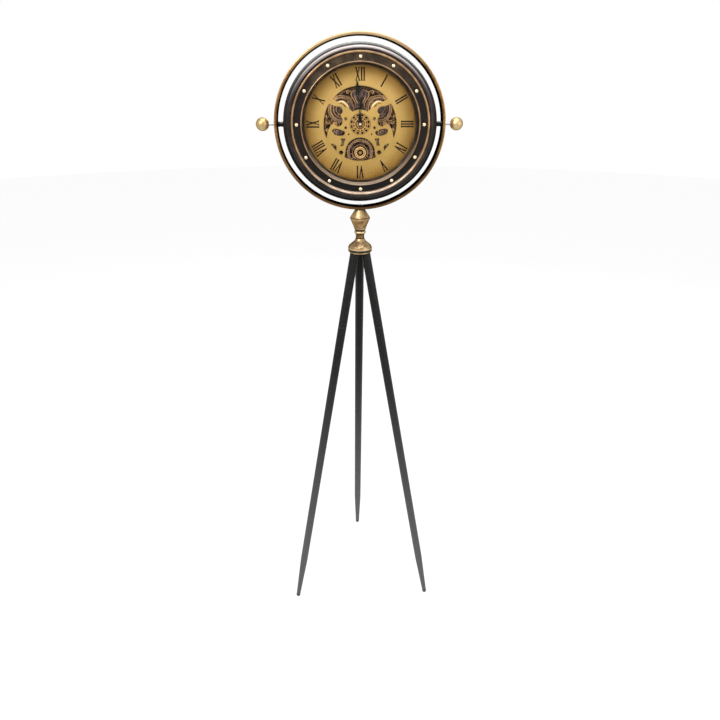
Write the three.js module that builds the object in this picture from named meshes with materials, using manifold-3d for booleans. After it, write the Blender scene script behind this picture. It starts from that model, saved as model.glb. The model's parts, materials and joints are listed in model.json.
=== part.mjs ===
// A tripod floor clock: a round open-dial clock head that tilts inside an upright
// ring, on a turned stem with three splayed tubular legs.
//
// Units are millimetres and +Z is up. The clock faces -Y, so +X is on the
// viewer's right. The origin is on the floor, at the centre of the object's box.
// The head is built round its own centre, where the tilt axis (X) crosses the
// axis of the hands (Y), and is then lifted to its height on the stem.

import * as THREE from "three";
import { mergeVertices } from "three/addons/utils/BufferGeometryUtils.js";
import Module from "manifold-3d";

// Clearances and facets shared by all pieces
const GAP = 0.3;
const OVERRUN = 6;
const RING_SIDES = 40;
const TURNED_SIDES = 20;
const TUBE_SIDES = 16;
const SMALL_SIDES = 12;
const SCREW_SIDES = 6;
const HEXAGON = 6;
const ROUNDING_STEPS = 3;

// Legs, feet and hub
const FOOT_CIRCLE_R = 191;
const FOOT_DOME_R = 5;
const FOOT_FLAT_DEPTH = 0.7;
const FOOT_CUFF_H = 4;
const FOOT_PLUG_R = 3.1;
const FOOT_PLUG_H = 18;
const HUB_UNDERSIDE_Z = 901;
const HUB_R = 24.9;
const HUB_H = 3.4;
const LEG_TOP_CIRCLE_R = 14.8;
const LEG_R = 10.1;
const LEG_WALL = 1.2;
const LEG_UPPER_LENGTH = 178.7;
const LEG_SPIGOT_LENGTH = 40;
const LEG_SPIGOT_WALL = 1.5;
const LEG_TAPER_R = 8.7;
const LEG_TAPER_LENGTH = 100;

// Turned stem, from the hub up to the ring
const TIE_BOLT_R = 4;
const TIE_HEAD_R = 7.5;
const TIE_HEAD_H = 2;
const COLLAR_R = 27.3;
const COLLAR_H = 3.8;
const BELL_R = 27.3;
const BELL_H = 26;
const NECK_R = 9.8;
const NECK_H = 18.2;
const BEAD_R = 13.1;
const CUP_BASE_R = 12.6;
const URN_R = 22.5;
const CUP_H = 27.2;
const URN_TOP_R = 10.6;
const CAP_H = 20.2;

// Ring, tilt bolts and ball knobs
const YOKE_GAP = 12;
const YOKE_WALL = 7.7;
const YOKE_DEPTH = 26;
const YOKE_EDGE = 1.6;
const BOLT_R = 3;
const BOLT_INSIDE = 6;
const BOLT_BARE_LENGTH = 11;
const KNOB_R = 14.2;
const KNOB_BORE_DEPTH = 9;
const SPACER_R = 5.5;
const WELD_NUT_R = 6.6;
const WELD_NUT_H = 5;

// Bezel, glass and dial opening
const DIAL_OPENING_R = 119.5;
const BEZEL_LIP_H = 2;
const BEZEL_SHEET = 1.8;
const INNER_SLOPE_W = 6;
const INNER_CREST_R = 2.3;
const CHANNEL_W = 19.4;
const CHANNEL_DEPTH = 5;
const OUTER_CREST_R = 2.6;
const OUTER_ROLL_W = 12.6;
const OUTER_ROLL_SHARE = 0.7;
const ROLL_CENTRE_SHARE = 0.4;
const BEZEL_H = 13.4;
const GLASS_LAP = 4.9;
const GLASS_H = 2;
const GASKET_H = 1.6;
const BEZEL_SCREW_COUNT = 12;
const SCREW_HEAD_R = 4.3;
const SCREW_HEAD_H = 2.6;
const SCREW_SHANK_R = 1.6;

// Case, rear cover and depths along Y, measured from the tilt axis
const FLANGE_Y = -21;
const CASE_BACK_Y = 24;
const CASE_WALL = 1.5;
const CASE_SHOULDER_W = 7;
const FRONT_SHOULDER_H = 8;
const REAR_SHOULDER_W = 14;
const REAR_SHOULDER_H = 10;
const REAR_LIP_W = 12;
const COVER_SHEET = 1.2;
const COVER_INSET = 3;
const PILLAR_R = 4;
const PILLAR_COUNT = 4;
const COVER_SCREW_COUNT = 3;
const COVER_SCREW_R = 3.4;
const COVER_SCREW_H = 2;

// Dial, openwork and gear train
const DIAL_EDGE = 6.5;
const DIAL_SHEET = 1;
const DIAL_Y = -6;
const DIAL_SPACER_WALL = 1.4;
const OPENWORK_MARGIN = 4.3;
const CENTRE_OPENING_R = 22.6;
const DOME_OPENING_R = 32.2;
const GEAR_MODULE = 2;
const CENTRE_TEETH = 30;
const LOWER_TEETH = 30;
const SATELLITE_TEETH = 24;
const PINION_TEETH = 16;
const PINION_R = 14.2;
const PINION_TOOTH_H = 1.8;
const PINION_HUB_R = 5;
const GEAR_H = 2.4;
const GEAR_Y = -1;
const GEAR_HUB_R = 5;
const GEAR_PIN_R = 2;
const GEAR_PLATE_Y = 2.8;
const GEAR_PLATE_SHEET = 1.2;
const POST_R = 2.5;
const POST_MARGIN = 1;
const LOWER_ARBOR_R = 1.6;

// Movement, motor and hands
const MOVEMENT_W = 56;
const MOVEMENT_PROUD = 2;
const BUSHING_R = 4.5;
const BUSHING_BORE_R = 3;
const BATTERY_R = 7.2;
const BATTERY_LENGTH = 50;
const BATTERY_BAY_MARGIN = 0.6;
const BATTERY_SHARE_DOWN = 0.3;
const SET_KNOB_R = 8;
const SET_KNOB_H = 6;
const SET_KNOB_STEM_R = 2;
const SET_KNOB_SHARE_UP = 0.25;
const MOTOR_W = 44;
const MOTOR_H = 32;
const HAND_SHEET = 0.7;
const HAND_SPACING = 1.8;
const HAND_BOSS_R = 6;
const HOUR_TUBE_WALL = 0.9;
const HOUR_HAND_LENGTH = 58;
const HOUR_HAND_W = 11;
const MINUTE_HAND_LENGTH = 91;
const MINUTE_HAND_W = 9.6;
const HAND_NUT_R = 3;
const HAND_NUT_H = 2.4;

// Angles, in degrees. Clock angles run clockwise from twelve.
const LEG_AZIMUTHS = { left: 210, right: 330, rear: 90 };
const HOUR_HAND_ANGLE = 3;
const MINUTE_HAND_ANGLE = -4.3;
const GEAR_DIRECTIONS = { right: 0, upper_right: 60, upper_left: 120, left: 180 };
const LOWER_DIRECTION = 270;
const TOOTH_FLANK_ANGLE = 20;

// Tooth proportions, as shares of the module or of the tooth pitch
const ADDENDUM_SHARE = 0.85;
const DEDENDUM_SHARE = 1.2;
const TOOTH_WIDTH_SHARE = 0.44;

// Sizes that follow from the ones above
const SCREW_CIRCLE_R = DIAL_OPENING_R + INNER_SLOPE_W + CHANNEL_W / 2;
const OUTER_CREST_CIRCLE_R = DIAL_OPENING_R + INNER_SLOPE_W + CHANNEL_W;
const BEZEL_R = OUTER_CREST_CIRCLE_R + OUTER_ROLL_W;
const CASE_R = BEZEL_R + CASE_SHOULDER_W;
const CASE_REAR_R = CASE_R - REAR_SHOULDER_W;
const COVER_SCREW_CIRCLE_R = CASE_REAR_R - (REAR_LIP_W + COVER_INSET) / 2;
const YOKE_INNER_R = CASE_R + YOKE_GAP;
const YOKE_R = YOKE_INNER_R + YOKE_WALL;
const KNOB_X = YOKE_R + BOLT_BARE_LENGTH + KNOB_R;
const DIAL_R = DIAL_OPENING_R + DIAL_EDGE;
const GLASS_R = DIAL_OPENING_R + GLASS_LAP;
const BEZEL_BACK_Y = FLANGE_Y - GAP;
const GLASS_BACK_Y = BEZEL_BACK_Y;
const GLASS_FRONT_Y = GLASS_BACK_Y - GLASS_H;
const GASKET_BACK_Y = GLASS_BACK_Y + GAP + GASKET_H;
const DIAL_BACK_Y = DIAL_Y + DIAL_SHEET;
const CHANNEL_Y = BEZEL_BACK_Y - BEZEL_H + CHANNEL_DEPTH;
const GEAR_CENTRE_DISTANCE = (GEAR_MODULE * (CENTRE_TEETH + SATELLITE_TEETH)) / 2;
const LOWER_DISTANCE = (GEAR_MODULE * (CENTRE_TEETH + LOWER_TEETH)) / 2;
const OPENWORK_R = LOWER_DISTANCE + PINION_R + OPENWORK_MARGIN;
const SATELLITE_TIP_R = GEAR_MODULE * (SATELLITE_TEETH / 2 + ADDENDUM_SHARE);
const POST_CIRCLE_R = GEAR_CENTRE_DISTANCE + SATELLITE_TIP_R + POST_R + POST_MARGIN;
const GEAR_PLATE_R = POST_CIRCLE_R + POST_R + POST_MARGIN;
const PILLAR_CIRCLE_R = (GEAR_PLATE_R + DIAL_R) / 2;
const MOVEMENT_FRONT_Y = GEAR_PLATE_Y + GEAR_PLATE_SHEET + GAP;
const COVER_Y = CASE_BACK_Y + GAP;
const MOVEMENT_BACK_Y = COVER_Y + COVER_SHEET + MOVEMENT_PROUD;
const HOUR_HAND_Y = DIAL_Y - HAND_SPACING * 2;
const MINUTE_HAND_Y = HOUR_HAND_Y - HAND_SPACING;
const LEG_BORE_R = LEG_R - LEG_WALL;
const SPIGOT_R = LEG_BORE_R - GAP;
const FOOT_CENTRE_Z = FOOT_DOME_R - FOOT_FLAT_DEPTH;
const LEG_RISE = HUB_UNDERSIDE_Z - FOOT_CENTRE_Z;
const LEG_LEAN = Math.atan2(FOOT_CIRCLE_R - LEG_TOP_CIRCLE_R, LEG_RISE);
const LEG_LENGTH = Math.hypot(FOOT_CIRCLE_R - LEG_TOP_CIRCLE_R, LEG_RISE);
const LEG_JOINT = LEG_LENGTH - LEG_UPPER_LENGTH;
const COLLAR_Z = HUB_UNDERSIDE_Z + HUB_H + GAP;
const BELL_Z = COLLAR_Z + COLLAR_H + GAP;
const NECK_Z = BELL_Z + BELL_H + GAP;
const CUP_Z = NECK_Z + NECK_H + GAP;
const CAP_Z = CUP_Z + CUP_H + GAP;
const HEAD_Z = CAP_Z + CAP_H + GAP + YOKE_R;
const STEM_Y = -FOOT_CIRCLE_R / 4;

// Finishes
const finish = (colour, roughness, metalness) =>
  new THREE.MeshStandardMaterial({ color: colour, roughness, metalness });
const blackPaint = finish(0x2b2a28, 0.45, 0.3);
const agedBrass = finish(0xa8834b, 0.35, 0.9);
const agedBronze = finish(0x3a302b, 0.4, 0.8);
const dialGold = finish(0xc9a657, 0.45, 0.6);
const gearBronze = finish(0x7c6450, 0.45, 0.8);
const steel = finish(0x9a9a98, 0.35, 0.9);
const handBlack = finish(0x1c1b1a, 0.5, 0.2);
const blackPlastic = finish(0x151515, 0.6, 0);
const rubber = finish(0x2a2a2a, 0.85, 0);
const batteryJacket = finish(0x4a4d50, 0.5, 0.1);
const glassClear = new THREE.MeshStandardMaterial({
  color: 0xffffff,
  roughness: 0.05,
  transparent: true,
  opacity: 0.2,
});

const wasm = await Module();
wasm.setup();
const radians = THREE.MathUtils.degToRad;

// A closed geometry as a manifold solid, for cutting and joining.
function solidOf(geometry) {
  const bare = new THREE.BufferGeometry();
  bare.setAttribute("position", geometry.getAttribute("position").clone());
  if (geometry.index) bare.setIndex(geometry.index.clone());
  const merged = mergeVertices(bare, 1e-4);
  return new wasm.Manifold(
    new wasm.Mesh({
      numProp: 3,
      vertProperties: merged.attributes.position.array,
      triVerts: new Uint32Array(merged.index.array),
    }),
  );
}

function geometryOf(solid) {
  const mesh = solid.getMesh();
  const geometry = new THREE.BufferGeometry();
  geometry.setAttribute("position", new THREE.BufferAttribute(mesh.vertProperties, 3));
  geometry.setIndex(new THREE.BufferAttribute(mesh.triVerts, 1));
  geometry.computeVertexNormals();
  return geometry;
}

const cut = (body, ...cutters) =>
  geometryOf(cutters.reduce((left, c) => left.subtract(solidOf(c)), solidOf(body)));
const join = (body, ...others) =>
  geometryOf(others.reduce((whole, o) => whole.add(solidOf(o)), solidOf(body)));

// Points of an arc, both ends included, with angles in degrees.
function arc(x, y, radius, from, to, steps = ROUNDING_STEPS) {
  return Array.from({ length: steps + 1 }, (_, i) => {
    const angle = radians(from + ((to - from) * i) / steps);
    return [x + radius * Math.cos(angle), y + radius * Math.sin(angle)];
  });
}

// Turns a closed outline of [radius, y] points round the Y axis.
function turnedAboutY(outline, sides) {
  const area = outline.reduce((sum, [r, y], i) => {
    const [nextR, nextY] = outline[(i + 1) % outline.length];
    return sum + r * nextY - nextR * y;
  }, 0);
  const ordered = area > 0 ? outline : [...outline].reverse();
  const points = [...ordered, ordered[0]].map(([r, y]) => new THREE.Vector2(r, y));
  return new THREE.LatheGeometry(points, sides);
}

// The same round the Z axis, for [radius, z] points.
const turnedAboutZ = (outline, sides) =>
  turnedAboutY(outline, sides).rotateX(Math.PI / 2);

// A turned piece with a bore right through: its outside, from bottom to top.
function boredAboutZ(outside, boreR, sides) {
  const bottom = outside[0][1];
  const top = outside[outside.length - 1][1];
  return turnedAboutZ([...outside, [boreR, top], [boreR, bottom]], sides);
}

const tubeAboutZ = (outerR, innerR, bottom, top, sides) =>
  boredAboutZ([[outerR, bottom], [outerR, top]], innerR, sides);

// A flat plate in the XZ plane, from a shape drawn in x and z.
function plate(shape, frontY, thickness, curveSteps = 5) {
  const geometry = new THREE.ExtrudeGeometry(shape, {
    depth: thickness,
    bevelEnabled: false,
    curveSegments: curveSteps,
  });
  return geometry.rotateX(Math.PI / 2).translate(0, frontY + thickness, 0);
}

// A round rod along Y.
const rodAlongY = (radius, frontY, backY, sides = SMALL_SIDES) =>
  new THREE.CylinderGeometry(radius, radius, backY - frontY, sides).translate(
    0,
    (frontY + backY) / 2,
    0,
  );

const rodAlongX = (radius, fromX, toX, sides = SMALL_SIDES) =>
  new THREE.CylinderGeometry(radius, radius, toX - fromX, sides)
    .rotateZ(Math.PI / 2)
    .translate((fromX + toX) / 2, 0, 0);

const rodAlongZ = (radius, bottom, top, sides = SMALL_SIDES) =>
  new THREE.CylinderGeometry(radius, radius, top - bottom, sides)
    .rotateX(Math.PI / 2)
    .translate(0, 0, (bottom + top) / 2);

// A box from its centre in X and Z, its two depths along Y and its width and height.
const block = (x, z, width, height, frontY, backY) =>
  new THREE.BoxGeometry(width, backY - frontY, height).translate(
    x,
    (frontY + backY) / 2,
    z,
  );

function circlePath(x, y, radius, target = new THREE.Path()) {
  target.absarc(x, y, radius, 0, Math.PI * 2, false);
  return target;
}

// A point in the XZ plane at a radius and a direction in degrees from +X.
const polar = (radius, direction) => [
  radius * Math.cos(radians(direction)),
  radius * Math.sin(radians(direction)),
];

function piece(parent, name, geometry, material) {
  const mesh = new THREE.Mesh(geometry, material);
  mesh.name = name;
  parent.add(mesh);
  return mesh;
}

// Legs. Each is built along Z from the centre of its foot's dome, then leaned
// inwards and set out on the foot circle, in the plane of +X.
const leaned = (geometry) =>
  geometry.rotateY(-LEG_LEAN).translate(FOOT_CIRCLE_R, 0, FOOT_CENTRE_Z);

const slabAbove = (z) =>
  new THREE.BoxGeometry(FOOT_CIRCLE_R, FOOT_CIRCLE_R, LEG_UPPER_LENGTH).translate(
    0,
    0,
    z + LEG_UPPER_LENGTH / 2,
  );

function legUpper() {
  const tube = tubeAboutZ(LEG_R, LEG_BORE_R, LEG_JOINT, LEG_LENGTH + OVERRUN, TUBE_SIDES);
  return cut(leaned(tube), slabAbove(HUB_UNDERSIDE_Z - GAP));
}

function legLower() {
  const end = FOOT_CUFF_H + GAP;
  const taper = end + LEG_TAPER_LENGTH;
  const top = LEG_JOINT - GAP;
  const spigotTop = LEG_JOINT + LEG_SPIGOT_LENGTH;
  const spigotBore = SPIGOT_R - LEG_SPIGOT_WALL;
  const step = LEG_R - spigotBore;
  return turnedAboutZ(
    [
      [FOOT_DOME_R, end],
      [LEG_TAPER_R, taper],
      [LEG_R, top],
      [SPIGOT_R, top],
      [SPIGOT_R, spigotTop],
      [spigotBore, spigotTop],
      [spigotBore, top - step],
      [LEG_BORE_R, top - step * 2],
      [LEG_TAPER_R - LEG_WALL, taper],
      [FOOT_PLUG_R + GAP, end],
    ],
    TUBE_SIDES,
  );
}

function foot() {
  const plugTop = FOOT_CUFF_H + FOOT_PLUG_H;
  const dome = arc(0, 0, FOOT_DOME_R, -90, 0);
  const outline = [...dome, [FOOT_DOME_R, FOOT_CUFF_H], [FOOT_PLUG_R, FOOT_CUFF_H]];
  const whole = turnedAboutZ([...outline, [FOOT_PLUG_R, plugTop], [0, plugTop]], TUBE_SIDES);
  const floor = new THREE.BoxGeometry(FOOT_CIRCLE_R, FOOT_CIRCLE_R, OVERRUN);
  floor.translate(FOOT_CIRCLE_R, 0, -OVERRUN / 2);
  return cut(leaned(whole), floor);
}

function legHub() {
  const disc = tubeAboutZ(
    HUB_R,
    TIE_BOLT_R + GAP,
    HUB_UNDERSIDE_Z,
    HUB_UNDERSIDE_Z + HUB_H,
    TURNED_SIDES,
  );
  const spigots = Object.values(LEG_AZIMUTHS).map((azimuth) => {
    const spigot = rodAlongZ(
      SPIGOT_R,
      LEG_LENGTH - LEG_SPIGOT_LENGTH,
      LEG_LENGTH + HUB_H / 2,
      TUBE_SIDES,
    );
    return leaned(spigot).rotateZ(radians(azimuth));
  });
  return join(disc, ...spigots);
}

// Stem pieces, all bored for the tie bolt. Shares are [of the radius, of the height].
const BELL_SHARES = [
  [0.985, 0],
  [1, 0.05],
  [1, 0.17],
  [0.965, 0.25],
  [0.894, 0.37],
  [0.7, 0.55],
  [0.498, 0.73],
  [0.39, 0.9],
];
const CUP_SHARES = [
  [0.575, 0.1],
  [0.62, 0.21],
  [0.7, 0.38],
  [0.985, 0.96],
];
const CAP_RIM_SHARE = 0.06;

const stemPiece = (outside) => boredAboutZ(outside, TIE_BOLT_R + GAP, TURNED_SIDES);

const stemCollar = () =>
  stemPiece([
    [COLLAR_R, COLLAR_Z],
    [COLLAR_R, COLLAR_Z + COLLAR_H],
  ]);

function stemBell() {
  const outside = BELL_SHARES.map(([r, h]) => [BELL_R * r, BELL_Z + BELL_H * h]);
  return stemPiece([...outside, [NECK_R, BELL_Z + BELL_H]]);
}

function stemNeck() {
  const beadHalf = BEAD_R - NECK_R;
  const top = NECK_Z + NECK_H;
  return stemPiece([
    [NECK_R, NECK_Z],
    [NECK_R, top - beadHalf * 3],
    ...arc(NECK_R, top - beadHalf * 1.5, beadHalf, -60, 60),
    [NECK_R + beadHalf / 2, top],
  ]);
}

function urnCup() {
  const outside = CUP_SHARES.map(([r, h]) => [URN_R * r, CUP_Z + CUP_H * h]);
  return stemPiece([[CUP_BASE_R, CUP_Z], ...outside, [URN_R, CUP_Z + CUP_H]]);
}

const urnCap = () =>
  stemPiece([
    [URN_R, CAP_Z],
    [URN_R, CAP_Z + CAP_H * CAP_RIM_SHARE],
    [URN_TOP_R, CAP_Z + CAP_H],
  ]);

// A long bolt from inside the ring, down through the stem and into the hub.
function tieBolt() {
  const seat = HEAD_Z - YOKE_INNER_R + GAP;
  return join(
    rodAlongZ(TIE_BOLT_R, HUB_UNDERSIDE_Z, seat + TIE_HEAD_H / 2),
    rodAlongZ(TIE_HEAD_R, seat, seat + TIE_HEAD_H, HEXAGON),
  );
}

// Ring, with flat seats and holes for the tie bolt below and the tilt bolts beside.
function yokeRing() {
  const half = YOKE_DEPTH / 2;
  const outline = [
    [YOKE_INNER_R, -half + YOKE_EDGE],
    [YOKE_INNER_R + YOKE_EDGE, -half],
    [YOKE_R - YOKE_EDGE, -half],
    [YOKE_R, -half + YOKE_EDGE],
    [YOKE_R, half - YOKE_EDGE],
    [YOKE_R - YOKE_EDGE, half],
    [YOKE_INNER_R + YOKE_EDGE, half],
    [YOKE_INNER_R, half - YOKE_EDGE],
  ];
  return cut(
    turnedAboutY(outline, RING_SIDES),
    rodAlongX(BOLT_R + GAP, -YOKE_R - OVERRUN, YOKE_R + OVERRUN),
    rodAlongX(SPACER_R + GAP, -YOKE_INNER_R, YOKE_INNER_R),
    rodAlongZ(TIE_BOLT_R + GAP, -YOKE_R - OVERRUN, -YOKE_INNER_R + OVERRUN),
    rodAlongZ(TIE_HEAD_R + GAP, -YOKE_INNER_R, -YOKE_INNER_R + OVERRUN),
  );
}

// Tilt pivot pieces, built on the right and turned round for the left.
const tiltBolt = () =>
  rodAlongX(
    BOLT_R,
    CASE_R - CASE_WALL - WELD_NUT_H - BOLT_INSIDE,
    KNOB_X - KNOB_R + KNOB_BORE_DEPTH - GAP,
  );

function ballKnob() {
  const ball = turnedAboutY(arc(0, 0, KNOB_R, -90, 90, 8), TUBE_SIDES);
  const bore = rodAlongX(BOLT_R + GAP, -KNOB_R - OVERRUN, -KNOB_R + KNOB_BORE_DEPTH);
  return cut(ball, bore).translate(KNOB_X, 0, 0);
}

const sleeveAlongX = (outerR, innerR, fromX, toX, sides) =>
  tubeAboutZ(outerR, innerR, fromX, toX, sides).rotateY(Math.PI / 2);

const tiltSpacer = () =>
  sleeveAlongX(SPACER_R, BOLT_R + GAP, CASE_R + GAP, YOKE_INNER_R - GAP, SMALL_SIDES);

// Hexagonal nuts welded inside the case take the threads of the tilt bolts.
const weldNut = () =>
  rodAlongX(WELD_NUT_R, CASE_R - CASE_WALL - WELD_NUT_H, CASE_R - CASE_WALL / 2, HEXAGON);

// Copies of one rod at equal steps round the axis of the hands.
const roundTheDial = (count, circleR, startAngle, make) =>
  Array.from({ length: count }, (_, i) => {
    const [x, z] = polar(circleR, startAngle + (360 / count) * i);
    return make().translate(x, 0, z);
  });

const screwHoles = (frontY, backY) =>
  roundTheDial(BEZEL_SCREW_COUNT, SCREW_CIRCLE_R, 0, () =>
    rodAlongY(SCREW_SHANK_R + GAP, frontY, backY, SCREW_SIDES),
  );

const boltHole = () =>
  rodAlongX(BOLT_R + GAP, -CASE_R - OVERRUN, CASE_R + OVERRUN);

const coverScrewHoles = () =>
  roundTheDial(COVER_SCREW_COUNT, COVER_SCREW_CIRCLE_R, 90, () =>
    rodAlongY(SCREW_SHANK_R + GAP, CASE_BACK_Y - OVERRUN, CASE_BACK_Y + OVERRUN, SCREW_SIDES),
  );

function caseShell() {
  const wall = CASE_WALL;
  const rearR = CASE_REAR_R;
  const outside = [
    [GLASS_R + GAP + BEZEL_SHEET, FLANGE_Y],
    [BEZEL_R, FLANGE_Y],
    [CASE_R - wall, FLANGE_Y + FRONT_SHOULDER_H / 2],
    [CASE_R, FLANGE_Y + FRONT_SHOULDER_H],
    [CASE_R, CASE_BACK_Y - REAR_SHOULDER_H],
    [CASE_R - wall, CASE_BACK_Y - REAR_SHOULDER_H / 2],
    [rearR, CASE_BACK_Y],
    [rearR - REAR_LIP_W, CASE_BACK_Y],
  ];
  const inside = [
    [rearR - REAR_LIP_W, CASE_BACK_Y - wall],
    [rearR - wall / 2, CASE_BACK_Y - wall],
    [CASE_R - wall, CASE_BACK_Y - REAR_SHOULDER_H],
    [CASE_R - wall, FLANGE_Y + FRONT_SHOULDER_H],
    [BEZEL_R - wall / 2, FLANGE_Y + wall],
    [GLASS_R + GAP + BEZEL_SHEET, FLANGE_Y + wall],
  ];
  const shell = turnedAboutY([...outside, ...inside], RING_SIDES);
  return cut(
    join(shell, weldNut(), weldNut().rotateZ(Math.PI)),
    boltHole(),
    ...screwHoles(FLANGE_Y - OVERRUN, FLANGE_Y + OVERRUN),
    ...coverScrewHoles(),
  );
}

const batteryZ = -MOVEMENT_W * BATTERY_SHARE_DOWN;
const setKnobZ = MOVEMENT_W * SET_KNOB_SHARE_UP;

function rearCover() {
  const outerR = CASE_REAR_R - COVER_INSET;
  const shape = circlePath(0, 0, outerR, new THREE.Shape());
  const sheet = plate(shape, COVER_Y, COVER_SHEET, RING_SIDES);
  const pillars = roundTheDial(PILLAR_COUNT, PILLAR_CIRCLE_R, 45, () =>
    rodAlongY(PILLAR_R, DIAL_BACK_Y + GAP, COVER_Y + COVER_SHEET / 2),
  );
  const past = COVER_Y + COVER_SHEET + OVERRUN;
  return cut(
    join(sheet, ...pillars),
    block(0, 0, MOVEMENT_W + GAP * 2, MOVEMENT_W + GAP * 2, COVER_Y - GAP, past),
    block(0, -LOWER_DISTANCE, MOTOR_W + GAP * 2, MOTOR_H + GAP * 2, COVER_Y - GAP, past),
    ...coverScrewHoles(),
  );
}

function coverScrew() {
  const seat = COVER_Y + COVER_SHEET + GAP;
  const head = arc(0, 0, 1, 90, 0, 2).map(([r, y]) => [
    COVER_SCREW_R * r,
    seat + COVER_SCREW_H * y,
  ]);
  const end = CASE_BACK_Y - CASE_WALL - SCREW_SHANK_R;
  return turnedAboutY([...head, [SCREW_SHANK_R, seat], [SCREW_SHANK_R, end], [0, end]], SCREW_SIDES);
}

// Bezel: a stamped ring with two crests and a channel for the screws between them.
function bezel() {
  const back = BEZEL_BACK_Y;
  const sheet = BEZEL_SHEET;
  const seatR = GLASS_R + GAP;
  const lipBack = GLASS_FRONT_Y - GAP;
  const frontY = back - BEZEL_H;
  const innerR = DIAL_OPENING_R + INNER_SLOPE_W;
  const outerR = OUTER_CREST_CIRCLE_R;
  const rollR = OUTER_ROLL_W * OUTER_ROLL_SHARE;
  const rollY = back - BEZEL_H * ROLL_CENTRE_SHARE;
  const innerCrestY = frontY + INNER_CREST_R + sheet / 2;
  const outerCrestY = frontY + OUTER_CREST_R;
  const front = [
    [seatR, back],
    [seatR, lipBack],
    [DIAL_OPENING_R, lipBack],
    [DIAL_OPENING_R, lipBack - BEZEL_LIP_H],
    ...arc(innerR, innerCrestY, INNER_CREST_R, -150, -30, 2),
    [innerR + INNER_CREST_R + sheet, CHANNEL_Y],
    [outerR - OUTER_CREST_R - sheet, CHANNEL_Y],
    ...arc(outerR, outerCrestY, OUTER_CREST_R, -180, -45),
    ...arc(BEZEL_R - rollR, rollY, rollR, -70, 0),
    [BEZEL_R, back],
  ];
  const hollow = [
    [BEZEL_R - sheet, back],
    [BEZEL_R - sheet, rollY],
    [outerR + sheet, outerCrestY + sheet / 2],
    [outerR - OUTER_CREST_R, CHANNEL_Y + sheet],
    [innerR + INNER_CREST_R, CHANNEL_Y + sheet],
    [seatR + sheet, back],
  ];
  const ring = turnedAboutY([...front, ...hollow], RING_SIDES);
  return cut(ring, ...screwHoles(frontY - OVERRUN, back + OVERRUN));
}

function bezelScrew() {
  const seat = CHANNEL_Y - GAP;
  const head = arc(0, 0, 1, -90, 0, 2).map(([r, y]) => [
    SCREW_HEAD_R * r,
    seat + SCREW_HEAD_H * y,
  ]);
  const end = FLANGE_Y + CASE_WALL + SCREW_SHANK_R;
  return turnedAboutY([...head, [SCREW_SHANK_R, seat], [SCREW_SHANK_R, end], [0, end]], SCREW_SIDES);
}

const glass = () => rodAlongY(GLASS_R, GLASS_FRONT_Y, GLASS_BACK_Y, RING_SIDES);

const hoop = (outerR, innerR, frontY, backY) =>
  turnedAboutY(
    [
      [innerR, frontY],
      [outerR, frontY],
      [outerR, backY],
      [innerR, backY],
    ],
    RING_SIDES,
  );

const gasket = () =>
  hoop(GLASS_R + GAP, DIAL_OPENING_R, GLASS_BACK_Y + GAP, GASKET_BACK_Y);

const dialSpacer = () =>
  hoop(
    DIAL_OPENING_R + GAP + DIAL_SPACER_WALL,
    DIAL_OPENING_R + GAP,
    GASKET_BACK_Y + GAP,
    DIAL_Y - GAP,
  );

// Openings in the dial, as shares of the openwork's radius, for the right half.
// Each is a smooth line through its points, unless it is called straight.
const FAN_EDGE_SHARES = [
  [0.752, 0.66],
  [0.6, 0.585],
  [0.49, 0.612],
  [0.385, 0.53],
  [0.318, 0.43],
  [0.2, 0.325],
];
const WING_EDGE_SHARES = [
  [0.92, -0.37],
  [0.895, -0.22],
  [0.83, -0.07],
  [0.745, 0.0],
  [0.6, -0.065],
  [0.5, -0.005],
  [0.475, 0.105],
  [0.53, 0.24],
  [0.47, 0.33],
  [0.53, 0.45],
  [0.7, 0.48],
  [0.838, 0.54],
];
const BEAN_SHARES = [
  [0.42, -0.205],
  [0.515, -0.155],
  [0.68, -0.115],
  [0.77, -0.165],
  [0.71, -0.27],
  [0.56, -0.315],
  [0.45, -0.285],
];
const SLOT_SHARES = [
  [0.4, -0.385],
  [0.535, -0.38],
  [0.515, -0.48],
  [0.55, -0.58],
  [0.455, -0.575],
  [0.44, -0.48],
];
const WEDGE_SHARES = [
  [0.82, -0.52],
  [0.71, -0.525],
  [0.655, -0.6],
  [0.66, -0.715],
];
const ROUND_HOLE_SHARES = [
  [0.525, -0.755, 0.05],
  [0.385, 0.14, 0.033],
  [0.4, -0.085, 0.028],
  [0.315, -0.27, 0.02],
];
const FAN_FOOT_SHARE = 0.385;
const DOME_CORNER_SHARES = [0.44, -0.885];

const inOpenwork = (shares) =>
  shares.map(([x, z]) => new THREE.Vector2(x * OPENWORK_R, z * OPENWORK_R));
const directionOf = (point) => Math.atan2(point.y, point.x);
const mirrored = (points) => points.map((p) => new THREE.Vector2(-p.x, p.y));

// A fair line through points, as short straight steps.
const fair = (points, closed = false) =>
  new THREE.CatmullRomCurve3(
    points.map((p) => new THREE.Vector3(p.x, p.y, 0)),
    closed,
  )
    .getPoints(points.length * 2)
    .map((p) => new THREE.Vector2(p.x, p.y));

const rim = (radius, from, to, steps) =>
  arc(0, 0, radius, THREE.MathUtils.radToDeg(from), THREE.MathUtils.radToDeg(to), steps).map(
    ([x, y]) => new THREE.Vector2(x, y),
  );

function fanOpening() {
  const right = fair(inOpenwork(FAN_EDGE_SHARES));
  const tip = directionOf(right[0]);
  const heel = directionOf(right[right.length - 1]);
  const foot = rim(FAN_FOOT_SHARE * OPENWORK_R, heel, Math.PI - heel, 4);
  const top = rim(OPENWORK_R, Math.PI - tip, tip, 14);
  return [...right, ...foot.slice(1, -1), ...mirrored(right).reverse(), ...top.slice(1, -1)];
}

function wingOpening() {
  const edge = fair(inOpenwork(WING_EDGE_SHARES));
  const from = directionOf(edge[edge.length - 1]);
  return [...edge, ...rim(OPENWORK_R, from, directionOf(edge[0]), 8).slice(1, -1)];
}

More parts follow.
